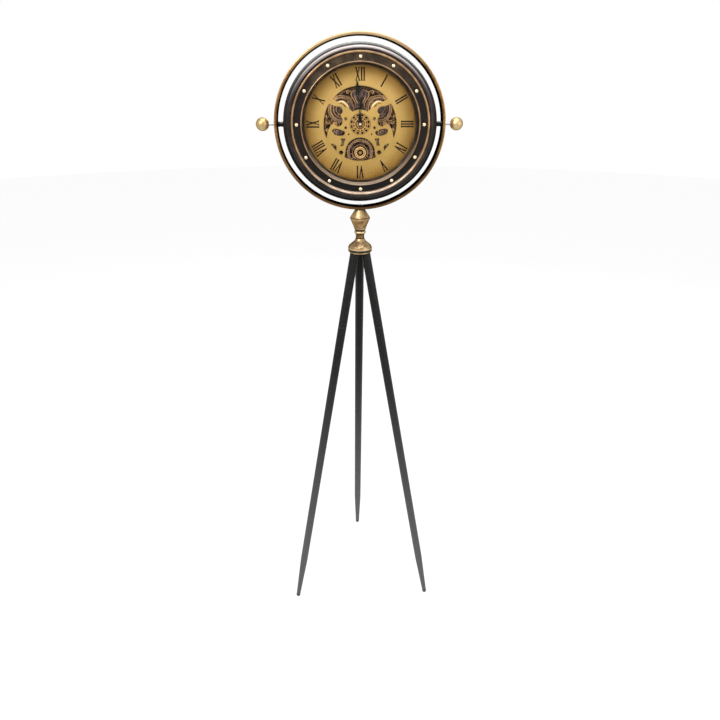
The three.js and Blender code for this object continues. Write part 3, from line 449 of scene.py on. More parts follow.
upper_pattern = turned("upper_pattern", upper_section, steps=48)
lower_pattern = turned("lower_pattern", lower_section, steps=48)
foot_pattern = turned("foot_pattern", foot_section, steps=40)
for side, azimuth in LEG_AZIMUTHS.items():
    upper = copy_of(upper_pattern, f"leg_tube_upper_{side}", turn=leg_turn(azimuth))
    saw = block("saw", SAW, SAW, -SAW / 2, SAW / 2)
    saw.location = Vector((0, 0, (HUB_UNDERSIDE_Z - GAP) * MM + SAW / 2 * MM)) + STEM - HEAD
    cut_with(upper, saw)
    lower = copy_of(lower_pattern, f"leg_tube_lower_{side}", turn=leg_turn(azimuth))
    foot = trimmed(copy_of(foot_pattern, f"foot_tip_{side}", turn=leg_turn(azimuth)), 0, False)
    declare(upper, "stand", "leg_paint", "leg_paint", f"leg_upper_{side}")
    declare(lower, "stand", "leg_paint", "leg_paint", f"leg_lower_{side}")
    declare(foot, "stand", "rubber_black", "rubber", f"foot_{side}")
for pattern in (upper_pattern, lower_pattern, foot_pattern):
    bpy.data.objects.remove(pattern)

# %% [markdown]
# ## Hub
# A brass disc under the stem carries three slanted pegs, one up each leg. Only the disc's
# rim shows, as a thin gold line below the black collar. The pegs are made too, because the
# legs would otherwise hang on nothing.

# %% Hub
BORE_R = 4.3
hub_top = HUB_UNDERSIDE_Z + HUB_H
hub_section = [
    (BORE_R, HUB_UNDERSIDE_Z),
    (HUB_R, HUB_UNDERSIDE_Z),
    (HUB_R, hub_top),
    (BORE_R, hub_top),
]
hub = turned("hub_disc", hub_section, steps=96, round_by=1.1, place=STEM)
pegs = [
    rod(
        f"peg_{side}",
        "Z",
        spigot_r,
        leg_length - LEG_SPIGOT_LENGTH,
        leg_length + HUB_H / 2,
        round_by=0.8,
        turn=leg_turn(azimuth),
    )
    for side, azimuth in LEG_AZIMUTHS.items()
]
fused_with(hub, *pegs)
declare(hub, "stand", "aged_brass", "hub_brass", "leg_hub")

# %% [markdown]
# ## Turned stem
# Above the hub come a black collar, a flared bell, a short neck with a bead, and the urn:
# a cup that widens upwards and a cap that narrows to the ring. They are separate castings
# on one long bolt. Each is a section through a few measured points. The curved ones are
# made smooth, and the crisp lines between the castings are kept as small steps.

# %% Stem sizes and the collar
COLLAR_Z, COLLAR_R, COLLAR_H = 904.7, 27.3, 3.8
BELL_Z, BELL_R, BELL_H = 908.8, 27.3, 26
NECK_Z, NECK_R, NECK_H = 935.1, 9.8, 18.2
CUP_Z, URN_R, CUP_H = 953.6, 22.5, 27.2
CAP_Z, CAP_H, URN_TOP_R = 981.1, 20.2, 10.6


def bored(outside):
    """Closes an outside with the straight bore for the tie bolt."""
    return [*outside, (BORE_R, outside[-1][1]), (BORE_R, outside[0][1])]


def casting(name, outside, node):
    """One brass casting of the stem, turned from its outside."""
    piece = turned(name, bored(outside), steps=96, place=STEM, smooth=40)
    declare(piece, "stand", "aged_brass", "stem_brass", node)


collar = turned(
    "stem_collar_ring",
    bored([(COLLAR_R, COLLAR_Z), (COLLAR_R, COLLAR_Z + COLLAR_H)]),
    steps=96,
    round_by=0.7,
    place=STEM,
)
declare(collar, "stand", "collar_paint", "collar_paint", "stem_collar")

# %% Bell
bell_shares = [(0.965, 0.25), (0.894, 0.37), (0.7, 0.55)]
bell_shares += [(0.498, 0.73), (0.39, 0.9), (0.362, 0.985)]
bell_flare = fair([(BELL_R * r, BELL_Z + BELL_H * h) for r, h in bell_shares], 6)
bell_outside = [
    (BELL_R * 0.97, BELL_Z),
    (BELL_R * 0.995, BELL_Z + 0.5),
    (BELL_R, BELL_Z + 1.3),
    (BELL_R, BELL_Z + BELL_H * 0.155),
    (BELL_R * 0.99, BELL_Z + BELL_H * 0.185),
    (BELL_R * 0.972, BELL_Z + BELL_H * 0.2),
    *bell_flare,
    (NECK_R, BELL_Z + BELL_H),
]
casting("stem_bell_casting", bell_outside, "stem_bell")

# %% Neck with its bead
NECK_BEAD_R = 3.5
neck_top = NECK_Z + NECK_H
bead_z = neck_top - 5
neck_outside = [
    (NECK_R + 0.2, NECK_Z),
    *fair([(NECK_R, NECK_Z + 0.8), (NECK_R - 0.5, NECK_Z + 4.5), (NECK_R, NECK_Z + 7.6)], 5),
    (NECK_R + 0.7, NECK_Z + 8.4),
    (NECK_R + 0.7, NECK_Z + 9.3),
    *bow(NECK_R - 0.2, bead_z, NECK_BEAD_R, -68, 68, 10),
    (NECK_R + 0.5, neck_top - 1.3),
    (NECK_R + 0.5, neck_top),
]
casting("stem_neck_casting", neck_outside, "stem_neck")

# %% Urn: lower cup and upper cap
cup_shares = [(0.575, 0.1), (0.62, 0.21), (0.7, 0.38), (0.82, 0.62), (0.965, 0.9)]
cup_outside = [
    (12.3, CUP_Z),
    (12.6, CUP_Z + 0.3),
    (12.6, CUP_Z + 1.6),
    *fair([(URN_R * r, CUP_Z + CUP_H * h) for r, h in cup_shares], 5),
    (URN_R * 0.985, CUP_Z + CUP_H * 0.93),
    (URN_R, CUP_Z + CUP_H * 0.955),
    (URN_R, CUP_Z + CUP_H - 0.3),
    (URN_R - 0.3, CUP_Z + CUP_H),
]
casting("urn_cup_casting", cup_outside, "urn_cup")

cap_shares = [(0.97, 0.09), (0.86, 0.3), (0.725, 0.55), (0.57, 0.82), (0.49, 0.96)]
cap_outside = [
    (URN_R - 0.3, CAP_Z),
    (URN_R, CAP_Z + 0.3),
    (URN_R, CAP_Z + 0.9),
    (URN_R * 0.985, CAP_Z + 1.3),
    *fair([(URN_R * r, CAP_Z + CAP_H * h) for r, h in cap_shares], 5),
    (URN_TOP_R - 0.2, CAP_Z + CAP_H),
]
casting("urn_cap_casting", cap_outside, "urn_cap")

# %% [markdown]
# ## Tie bolt
# One long bolt holds the castings and the ring on the hub. Its six-sided head sits inside
# the ring and can be seen from above. The head starts as a six-sided cylinder whose top
# corners are cut by a cone, the way a real bolt head is chamfered.

# %% Tie bolt
TIE_SEAT_Z = 1009.6
TIE_HEAD_R, TIE_HEAD_H = 7.5, 2
TIE_BOLT_R = 4


def hexagon_head(name, across_corners_r, height, axis, place):
    """A six-sided head, chamfered on one side, on a bolt along the axis."""
    sizes = {"vertices": 6, "radius": across_corners_r * MM, "depth": height * MM}
    head = added(bpy.ops.mesh.primitive_cylinder_add, name, **sizes)
    flat_r = across_corners_r * cos(radians(30))
    chamfer = turned(
        "chamfer",
        [
            (0, height / 2),
            (flat_r, height / 2),
            (across_corners_r, height * 0.3),
            (across_corners_r + 1, height * 0.3),
            (across_corners_r + 1, -height / 2),
            (0, -height / 2),
        ],
        steps=48,
    )
    worked_with(head, [chamfer], "INTERSECT")
    turn = {"Z": Matrix.Identity(4), "X": Matrix.Rotation(pi / 2, 4, "Y")}[axis]
    return seat(head, place, turn)


tie_head_place = STEM + Vector((0, 0, TIE_SEAT_Z + TIE_HEAD_H / 2)) * MM
tie_bolt = hexagon_head("tie_bolt_steel", TIE_HEAD_R, TIE_HEAD_H, "Z", tie_head_place)
shank = rod("shank", "Z", TIE_BOLT_R, HUB_UNDERSIDE_Z, TIE_SEAT_Z + 1, STEM, 40, 0.5)
fused_with(tie_bolt, shank)
declare(tie_bolt, "stand", "bright_steel", "oiled_steel", "tie_bolt")

# %% [markdown]
# ## Ring
# The ring is one flat steel band, rolled and welded. Its edges are softly rounded, which is
# what catches the light along its whole length, so the section has real fillets and the
# spin is fine enough to keep the circle smooth. Two holes take the tilt bolts and a third
# the tie bolt.

# %% Ring
YOKE_INNER_R, YOKE_R, YOKE_HALF_DEPTH = 176.5, 184.2, 13
ring_section = [
    (YOKE_INNER_R, -YOKE_HALF_DEPTH),
    (YOKE_R, -YOKE_HALF_DEPTH),
    (YOKE_R, YOKE_HALF_DEPTH),
    (YOKE_INNER_R, YOKE_HALF_DEPTH),
]
ring = turned("ring_band", ring_section, "Y", 256, 1.7, HEAD, smooth=40)
BOLT_R = 3
DRILL_REACH = 190
cut_with(
    ring,
    rod("drill", "X", BOLT_R + GAP, -DRILL_REACH, DRILL_REACH, HEAD),
    rod("drill", "Z", BORE_R, -DRILL_REACH, -172, HEAD),
)
declare(ring, "stand", "ring_bronze", "ring_bronze", "yoke_ring")

# %% [markdown]
# ## Tilt pivots
# On each side a ball knob is threaded on the end of a steel bolt. The bolt runs through the
# ring and a dark spacer into a nut on the case, so that turning the ball clamps the head.
# The ball is turned with a small flat and a collar where the bolt goes in. A plain sphere
# would have neither.

# %% Balls, bolts and spacers
KNOB_X, KNOB_R = 209.4, 14.2
KNOB_FLAT = -KNOB_R * 0.955
KNOB_BORE_DEPTH = 9
CASE_R = 164.5
BOLT_START_X, BOLT_END_X = 152, 203.9
ball_section = [
    (BOLT_R + GAP, KNOB_FLAT),
    (4.6, KNOB_FLAT),
    (4.9, -KNOB_R * 0.935),
    *bow(0, 0, KNOB_R, -69, 90, 26),
]
ball_section[-1] = (0, KNOB_R)
ball_section += [(0, -KNOB_R + KNOB_BORE_DEPTH), (BOLT_R + GAP, -KNOB_R + KNOB_BORE_DEPTH)]
bolt_section = [
    (0, BOLT_START_X),
    (BOLT_R - 0.6, BOLT_START_X),
    (BOLT_R, BOLT_START_X + 0.8),
    (BOLT_R, BOLT_END_X - 0.5),
    (BOLT_R - 0.5, BOLT_END_X),
    (0, BOLT_END_X),
]
spacer_section = [
    (BOLT_R + GAP, CASE_R + 0.3),
    (5.5, CASE_R + 0.3),
    (5.5, CASE_R + 4.6),
    (5.0, CASE_R + 5.2),
    (5.0, YOKE_INNER_R - 4.6),
    (5.5, YOKE_INNER_R - 4.0),
    (5.5, YOKE_INNER_R - 0.3),
    (BOLT_R + GAP, YOKE_INNER_R - 0.3),
]
for side, turn in (("right", Matrix.Identity(4)), ("left", Matrix.Rotation(pi, 4, "Z"))):
    centre = Matrix.Translation(HEAD) @ turn
    ball_place = centre @ Matrix.Translation(Vector((KNOB_X, 0, 0)) * MM)
    ball = turned(f"ball_{side}", ball_section, "X", 64, 0, (0, 0, 0), ball_place, 40)
    bolt = turned(f"tilt_rod_{side}", bolt_section, "X", 40, 0, (0, 0, 0), centre)
    spacer = turned(f"tilt_sleeve_{side}", spacer_section, "X", 40, 0.3, (0, 0, 0), centre)
    declare(ball, f"knob_{side}", "aged_brass", "knob_brass", f"ball_knob_{side}")
    declare(bolt, f"knob_{side}", "bright_steel", "steel", f"tilt_bolt_{side}")
    declare(spacer, "head", "case_bronze", "case_paint", f"tilt_spacer_{side}")

# %% [markdown]
# ## Case
# The drum is pressed from thin sheet, with a rounded shoulder to the front and a longer one
# to the back. It is drawn as one closed section, outside and inside, so that it keeps a
# true wall all round. The nuts for the tilt bolts are welded inside.

# %% Case drum
FLANGE_Y, CASE_BACK_Y = -21, 24
BEZEL_R = 157.5
CASE_WALL = 1.5
CASE_REAR_R = 150.5
REAR_LIP_R = 138.5
CASE_BORE_R = 126.5
FRONT_ROUND_R, FRONT_ROUND_Y = 7, 8
REAR_ROUND_R, REAR_ROUND_Y = 14, 10
WELD_NUT_R, WELD_NUT_H = 6.6, 5
front_y, rear_y = FLANGE_Y + FRONT_ROUND_Y, CASE_BACK_Y - REAR_ROUND_Y
case_outside = [
    (CASE_BORE_R, FLANGE_Y),
    *oval(BEZEL_R, front_y, FRONT_ROUND_R, FRONT_ROUND_Y, -90, 0),
    *oval(CASE_REAR_R, rear_y, REAR_ROUND_R, REAR_ROUND_Y, 0, 90),
    (REAR_LIP_R + 1, CASE_BACK_Y),
    (REAR_LIP_R, CASE_BACK_Y - 0.4),
]
case_inside = [
    (REAR_LIP_R, CASE_BACK_Y - CASE_WALL),
    *oval(CASE_REAR_R, rear_y, REAR_ROUND_R - CASE_WALL, REAR_ROUND_Y - CASE_WALL, 90, 0),
    *oval(BEZEL_R, front_y, FRONT_ROUND_R - CASE_WALL, FRONT_ROUND_Y - CASE_WALL, 0, -90),
    (CASE_BORE_R, FLANGE_Y + CASE_WALL),
]
case = turned("case_drum", [*case_outside, *case_inside], "Y", 192, 0, HEAD, smooth=40)
nut_x = CASE_R - CASE_WALL - 2.4
nuts = [hexagon_head("nut", WELD_NUT_R, WELD_NUT_H, "X", on_head(x)) for x in (nut_x, -nut_x)]
fused_with(case, *nuts)
cut_with(case, rod("drill", "X", BOLT_R + GAP, -DRILL_REACH, DRILL_REACH, HEAD))
declare(case, "head", "case_bronze", "case_paint", "case_shell")

# %% [markdown]
# ## Bezel
# The bezel is a stamped ring. From the outside in, it has a broad roll, a fine outer crest,
# a flat channel for the screws, an inner crest and a slope down to the glass. These curves
# make the light bands on the real piece, so each one is an arc in the section. A torus or
# a bevelled cylinder would give one highlight where the real bezel shows five.

# %% Bezel section
DIAL_OPENING_R = 119.5
GLASS_R = 124.4
INNER_CREST_R, SCREW_CIRCLE_R, OUTER_CREST_R = 125.3, 135.2, 144.9
ROLL_R = 148.7
BACK_Y, LIP_BACK_Y, CHANNEL_Y = -21.3, -23.6, -29.7
ROLL_Y = -26.7
bezel_front = [
    (GLASS_R + GAP, BACK_Y),
    (GLASS_R + GAP, LIP_BACK_Y),
    (DIAL_OPENING_R + 0.3, LIP_BACK_Y),
    (DIAL_OPENING_R, LIP_BACK_Y - 0.3),
    (DIAL_OPENING_R, LIP_BACK_Y - 1.2),
    *fair([(119.9, -25.4), (120.9, -27.4), (122.0, -29.6), (123.1, -31.3)], 4),
    *bow(INNER_CREST_R, -31.9, 2.35, -165, -10, 10),
    (127.8, -30.9),
    (128.3, -30.1),
    (129.2, CHANNEL_Y),
    (140.9, CHANNEL_Y),
    (141.8, -30.1),
    (142.3, -31.2),
    *bow(OUTER_CREST_R, -32.3, 2.4, -170, -28, 10),
    (147.4, -32.6),
    *bow(ROLL_R, ROLL_Y, 8.8, -76, 0, 16),
    (BEZEL_R, BACK_Y),
]
bezel_back = [
    (BEZEL_R - 1.8, BACK_Y),
    *bow(ROLL_R, ROLL_Y, 7.0, 0, -60, 8),
    (146.0, -30.6),
    (143.4, -29.6),
    (142.0, CHANNEL_Y + 1.8),
    (128.0, CHANNEL_Y + 1.8),
    (127.2, -28.6),
    (GLASS_R + GAP + 1.8, BACK_Y),
]
bezel = turned("bezel_ring", [*bezel_front, *bezel_back], "Y", 256, 0, HEAD, smooth=46)
declare(bezel, "head", "case_bronze", "bezel_paint", "bezel")

# %% [markdown]
# ## Bezel screws
# Twelve dome screws sit in the channel, one at each hour. They are a few pixels wide in the
# photo, yet they are its brightest points, because each bright dome stands on a dark rim.
# One is turned with a thin base ring and a dome, and copied round.

# %% Bezel screws
HEAD_SEAT_Y, SCREW_TIP_Y = -30.0, -17.9
DOME_R, DOME_H, SCREW_HEAD_R, SCREW_R = 3.75, 2.1, 4.3, 1.6
screw_section = [
    (0, HEAD_SEAT_Y - 0.5 - DOME_H),
    *oval(0, HEAD_SEAT_Y - 0.5, DOME_R, DOME_H, -78, 0, 6),
    (4.0, HEAD_SEAT_Y - 0.55),
    (SCREW_HEAD_R, HEAD_SEAT_Y - 0.35),
    (SCREW_HEAD_R, HEAD_SEAT_Y),
    (SCREW_R, HEAD_SEAT_Y),
    (SCREW_R, SCREW_TIP_Y - 0.5),
    (SCREW_R - 0.5, SCREW_TIP_Y),
    (0, SCREW_TIP_Y),
]
# Their finish paints a highlight on the front of each dome and shade round its foot.
screw = turned("screw_pattern", screw_section, "Y", 28)
for hour in range(1, 13):
    x, z = polar(SCREW_CIRCLE_R, 90 - 30 * hour)
    twin = copy_of(screw, f"dome_screw_{hour:02d}", on_head(x, 0, z))
    declare(twin, "head", "aged_brass", "dome_brass", f"bezel_screw_{hour:02d}")
bpy.data.objects.remove(screw)

# %% [markdown]
# ## Glass, gasket and hoop
# The flat glass drops in behind the bezel's lip. A rubber ring presses it forward, and a
# sheet hoop keeps the dial at its distance, which is the dark wall seen between glass and
# dial. The glass is a turned disc with ground edges, because a single flat face would have
# no thickness and would bend no light at its rim.

# %% Glass, gasket and hoop
def oblong(inner_r, outer_r, front_y, back_y):
    """The section of a plain flat ring."""
    return [(inner_r, front_y), (outer_r, front_y), (outer_r, back_y), (inner_r, back_y)]


GLASS_FRONT_Y = -23.3
glass_section = [
    (0, GLASS_FRONT_Y),
    (GLASS_R - 0.4, GLASS_FRONT_Y),
    (GLASS_R, GLASS_FRONT_Y + 0.4),
    (GLASS_R, BACK_Y - 0.4),
    (GLASS_R - 0.4, BACK_Y),
    (0, BACK_Y),
]
glass = turned("glass_disc", glass_section, "Y", 192, 0, HEAD)
declare(glass, "head", "lens", "glass", "glass")
gasket_section = oblong(DIAL_OPENING_R, GLASS_R + GAP, -21.0, -19.4)
gasket = turned("rubber_gasket", gasket_section, "Y", 160, 0.35, HEAD)
declare(gasket, "head", "rubber_black", "rubber", "glass_gasket")
hoop = turned("dial_hoop", oblong(119.8, 121.2, -19.1, -6.3), "Y", 160, 0.25, HEAD)
declare(hoop, "head", "case_bronze", "hoop_paint", "dial_spacer")

# %% [markdown]
# ## Pierced dial
# The dial is a gold sheet with openings that show the wheels: a fan above, a wing on each
# side, small beans, slots, wedges and holes, and a dome below. The openings are mirrored,
# so only the right half is drawn, in shares of the openwork's radius. They are sawn with
# the flat curve, whose bevel gives each opening the soft bright edge of a stamped sheet.
# Two wires along the fan's lower edge make the raised lips there.

# %% Outlines of the openings
OPENWORK_R = 78.5
LOWER_Z = -60
DOME_WINDOW_R = 32.2
DOME_CORNER = (0.44, -0.885)
FAN_EDGE = [(0.752, 0.66), (0.6, 0.585), (0.49, 0.612)]
FAN_EDGE += [(0.385, 0.53), (0.318, 0.43), (0.2, 0.325)]
WING_EDGE = [(0.92, -0.37), (0.895, -0.22), (0.83, -0.07), (0.745, 0.0), (0.6, -0.065)]
WING_EDGE += [(0.5, -0.005), (0.475, 0.105), (0.53, 0.24), (0.47, 0.33), (0.53, 0.45)]
WING_EDGE += [(0.7, 0.48), (0.838, 0.54)]
BEAN = [(0.42, -0.205), (0.515, -0.155), (0.68, -0.115), (0.77, -0.165)]
BEAN += [(0.71, -0.27), (0.56, -0.315), (0.45, -0.285)]
SLOT = [(0.4, -0.385), (0.535, -0.38), (0.515, -0.48)]
SLOT += [(0.55, -0.58), (0.455, -0.575), (0.44, -0.48)]
WEDGE = [(0.82, -0.52), (0.71, -0.525), (0.655, -0.6), (0.66, -0.715)]
SLIT_TOP = [(0.575, 0.54), (0.5, 0.553), (0.425, 0.505), (0.375, 0.44)]
SLIT_FOOT = [(0.392, 0.428), (0.44, 0.482), (0.505, 0.527), (0.572, 0.522)]
ROUND_HOLES = [(0.53, -0.76, 0.058), (0.39, 0.14, 0.044)]
ROUND_HOLES += [(0.4, -0.095, 0.038), (0.315, -0.27, 0.024)]


def openwork(shares):
    """Shares of the openwork's radius as millimetres."""
    return [(x * OPENWORK_R, z * OPENWORK_R) for x, z in shares]


def direction_of(point):
    return degrees(atan2(point[1], point[0]))


fan_right = fair(openwork(FAN_EDGE), 6)
fan_tip = direction_of(fan_right[0])
fan_heel = direction_of(fan_right[-1])
fan_outline = [
    *fan_right,
    *bow(0, 0, 0.385 * OPENWORK_R, fan_heel, 180 - fan_heel, 12)[1:-1],
    *mirrored(fan_right)[::-1],
    *bow(0, 0, OPENWORK_R, 180 - fan_tip, fan_tip, 40)[1:-1],
]
wing_edge = fair(openwork(WING_EDGE), 6)
wing_rim = bow(0, 0, OPENWORK_R, direction_of(wing_edge[-1]), direction_of(wing_edge[0]), 24)
wing_outline = [*wing_edge, *wing_rim[1:-1]]
dome_corner = direction_of(DOME_CORNER)
dome_outline = [
    *bow(0, LOWER_Z, DOME_WINDOW_R, 0, 180, 36),
    *bow(0, 0, hypot(*DOME_CORNER) * OPENWORK_R, -180 - dome_corner, dome_corner, 20),
]
pairs = [wing_outline, fair(openwork(BEAN), 5, closed=True), openwork(SLOT), openwork(WEDGE)]
for x, z, radius in ROUND_HOLES:
    pairs.append(circle(radius * OPENWORK_R, 24, x * OPENWORK_R, z * OPENWORK_R))
pairs.append([*fair(openwork(SLIT_TOP), 5), *fair(openwork(SLIT_FOOT), 5)])
openings = [fan_outline, dome_outline, circle(22.6, 72)]
openings += [side for outline in pairs for side in (outline, mirrored(outline))]
print(len(openings), "openings in the dial")

# %% Dial sheet, with raised gold lips along the fan
DIAL_R, DIAL_FACE_Y, DIAL_SHEET = 126, -6, 1.0
dial_middle = on_head(0, DIAL_FACE_Y + DIAL_SHEET / 2, 0)
dial = fretted("pierced_dial", [circle(DIAL_R, 180), *openings], DIAL_SHEET, 0.22, dial_middle)


def wire(name, points, radius, depth_y, sides=2):
    """A half-sunk round wire along a line on the head. It is finer towards its ends."""
    piece = added(bpy.ops.object.add, name, type="CURVE")
    drawing = piece.data
    drawing.dimensions = "3D"
    drawing.bevel_depth = radius * MM
    drawing.bevel_resolution = sides
    drawing.use_fill_caps = True
    spline = drawing.splines.new("POLY")
    spline.points.add(len(points) - 1)
    for share, (point, (x, z)) in enumerate(zip(spline.points, points)):
        point.co = (*on_head(x, depth_y, z), 1)
        middle = abs(2 * share / (len(points) - 1) - 1)
        point.radius = 1 - 0.75 * middle ** 2
    bpy.ops.object.convert(target="MESH")
    weld(piece)
    return seat(piece)


LIP_R = 1.7
lip_line = fair(openwork([(0.6, 0.572), (0.49, 0.598), (0.37, 0.52), (0.303, 0.42)]), 6)
lips = joined(
    wire("dial_lips", lip_line, LIP_R, DIAL_FACE_Y - 0.1, 3),
    wire("lip", mirrored(lip_line), LIP_R, DIAL_FACE_Y - 0.1, 3),
)
# Their finish paints a highlight along the crown of each lip.
declare(lips, "head", "dial_gold", "lip_gold")
declare(dial, "head", "dial_gold", "dial_gold", "dial_plate")

# %% [markdown]
# ## Filigree behind the openings
# The openings of the real dial aren't empty. On each side a large scalloped ring with a
# pearled band, at the top a palmette leaf, and between them rosettes and curled stems cross
# the openings in front of the wheels. They are a thin sheet with round wires soldered on.
# The sheet is sawn with the flat curve, the wires are laid along arcs and spirals, and one
# pearl is copied along the band. Holes in the sheet keep the wheels in sight.

# %% Pearled bands and their scalloped rings
FILIGREE_Y = DIAL_FACE_Y + 1.6
RING_X, RING_Z, RING_R = 40, 31, 28.4
BAND_INNER, BAND_OUTER, BAND_START, BAND_END = 23.4, 28.2, -125, 196
RING_HOLES = ((16, 20.0, 1.7), (12, 14.2, 2.3), (8, 8.0, 1.8))
PEARL_STEP = 3.9
sheet_outlines = []
filigree = []


def wire_pair(line, radius):
    """The same filigree wire on the right and on the left."""
    for path in (line, mirrored(line)):
        filigree.append(wire("filigree_wire", path, radius, FILIGREE_Y))


for radius in (BAND_INNER + 0.3, BAND_OUTER - 0.3):
    wire_pair(bow(RING_X, RING_Z, radius, BAND_START, BAND_END, 28), 0.62)
pearl_section = [(0, -0.8), (0.65, -0.6), (0.95, 0), (0.95, 0.3), (0, 0.3)]
pearl = turned("pearl", pearl_section, "Y", 10)
middle = (BAND_INNER + BAND_OUTER) / 2
pearls = round(radians(BAND_END - BAND_START) * middle / PEARL_STEP)
for place in range(pearls):
    direction = BAND_START + (BAND_END - BAND_START) * (place + 0.5) / pearls
    px, pz = polar(middle, direction)
    for side in (1, -1):
        spot = on_head(side * (RING_X + px), FILIGREE_Y, RING_Z + pz)
        filigree.append(copy_of(pearl, "pearl_copy", spot))
bpy.data.objects.remove(pearl)


def scalloped(radius, swing, lobe, points, x, z):
    """A disc whose rim swings in and out, once in so many degrees."""
    outline = []
    for place in range(points):
        direction = 360 * place / points
        dx, dz = polar(radius + swing * cos(2 * pi * direction / lobe), direction)
        outline.append((x + dx, z + dz))
    return outline


for side in (1, -1):
    x = side * RING_X
    sheet_outlines.append(scalloped(RING_R, 0.6, 8, 90, x, RING_Z))
    for count, circle_r, hole_r in RING_HOLES:
        for spot in around(count, circle_r, x, RING_Z):
            sheet_outlines.append(circle(hole_r, 10, *spot))
    for ring_r in (22.6, 17.2, 11.0):
        line = bow(x, RING_Z, ring_r, 0, 360, 60)
        filigree.append(wire("inner_ring", line, 0.6, FILIGREE_Y))
print(pearls, "pearls along each band")

# %% Palmette leaf and rosettes
LEAF = [(0, 33), (8.4, 35), (9.4, 42), (12.6, 49), (17.4, 55.5)]
LEAF += [(19, 62), (14, 68), (7, 70), (0, 74)]
LEAF_VEIN = [(0.6, 38), (6.5, 46), (10.5, 54), (12.5, 60)]
LEAF_HOLES = ((0, 67, 2.6), (8.5, 62, 2.3), (4.6, 53.5, 2.0), (3.2, 44.5, 1.6))
ROSETTES = [(48, -17, 9.6), (-48, -17, 9.6), (37.5, -38, 5.4), (-37.5, -38, 5.4)]
leaf = fair(LEAF, 5)
sheet_outlines.append([*leaf, *mirrored(leaf)[::-1][1:-1]])
for x, z, hole_r in LEAF_HOLES:
    for side in (1, -1) if x else (1,):
        sheet_outlines.append(circle(hole_r, 10, side * x, z))
wire_pair(leaf[2:-2], 0.7)
wire_pair(fair(LEAF_VEIN, 6), 0.7)
for x, z, radius in ROSETTES:
    sheet_outlines.append(scalloped(radius, 0.9, 36, 60, x, z))
    for spot in around(8, radius * 0.72, x, z):
        sheet_outlines.append(circle(1.25, 8, *spot))
    for ring_r in (radius * 0.95, radius * 0.42):
        line = bow(x, z, ring_r, 0, 360, 32)
        filigree.append(wire("rosette_ring", line, 0.55, FILIGREE_Y))


# %% Curled stems, and all of it joined
def scroll(x, z, start_r, end_r, start, sweep, steps=26):
    """A spiral whose radius shrinks evenly while it turns."""
    line = []
    for step in range(steps + 1):
        share = step / steps
        radius = start_r + (end_r - start_r) * share ** 0.8
        dx, dz = polar(radius, start + sweep * share)
        line.append((x + dx, z + dz))
    return line


STEMS = [
    (70, 4, 5, 1.2, 80, 430),
    (71, -13, 4.6, 1.0, 250, -430),
    (53, 55, 5, 1.2, 30, 470),
    (26, 65, 4.6, 1.1, 200, -430),
    (56, -42, 4, 1.0, 90, 400),
    (73, 17, 3.4, 0.9, 100, -400),
]
for stem in STEMS:
    wire_pair(scroll(*stem), 0.8)
filigree_sheet = fretted(
    "filigree_sheet", sheet_outlines, 1.0, 0.15, on_head(0, FILIGREE_Y + 0.5, 0)
)
joined(filigree_sheet, *filigree)
declare(filigree_sheet, "head", "gear_bronze", "filigree_bronze")

# %% [markdown]
# ## Numerals
# The dark brown Roman numerals stand radially, with their feet to the middle. Blender's own
# font has no serifs, so each letter is drawn as one closed outline with a thick and a thin
# stroke, as a sign painter builds it. A flat curve as thin as a coat of paint fills them.

# %% Letters I, V and X
LETTER_H = 27
THICK, THIN, SERIF_H, SERIF_OUT = 3.0, 2.1, 1.25, 0.8
LETTER_WIDTHS = {"I": 5.2, "V": 11.8, "X": 11.6}
top, foot_line = LETTER_H / 2, -LETTER_H / 2


def crossing(a, b, c, d):
    """Where the line a-b meets the line c-d."""
    a, b, c, d = (Vector(point) for point in (a, b, c, d))
    along, other = b - a, d - c
    share = (c - a).cross(other) / along.cross(other)
    meeting = a + along * share
    return (meeting.x, meeting.y)


def letter_i():
    """The outline of the letter I, round the middle of its height."""
    half, out = THICK / 2, THICK / 2 + SERIF_OUT
    right = [
        (out, foot_line),
        (out, foot_line + SERIF_H),
        (half + 0.25, foot_line + SERIF_H + 0.3),
        (half, foot_line + SERIF_H + 0.9),
        (half, top - SERIF_H - 0.9),
        (half + 0.25, top - SERIF_H - 0.3),
        (out, top - SERIF_H),
        (out, top),
    ]
    return [*right, *mirrored(right)[::-1]]


def letter_v():
    """The outline of the letter V. Its strokes keep their width down to the point."""
    left, right, blunt = -3.5, 3.5, 0.8
    point_z = foot_line - 0.2
    serif = top - SERIF_H
    inner = crossing(
        (left + THICK / 2, serif),
        (THICK - blunt, point_z),
        (right - THIN / 2, serif),
        (blunt - THIN, point_z),
    )
    return [
        (left - THICK / 2 - SERIF_OUT, top),
        (left - THICK / 2 - SERIF_OUT, serif),
        (left - THICK / 2, serif),
        (-blunt, point_z),
        (blunt, point_z),
        (right + THIN / 2, serif),
        (right + THIN / 2 + SERIF_OUT, serif),
        (right + THIN / 2 + SERIF_OUT, top),
        (right - THIN / 2 - SERIF_OUT, top),
        (right - THIN / 2 - SERIF_OUT, serif),
        (right - THIN / 2, serif),
        inner,
        (left + THICK / 2, serif),
        (left + THICK / 2 + SERIF_OUT, serif),
        (left + THICK / 2 + SERIF_OUT, top),
    ]


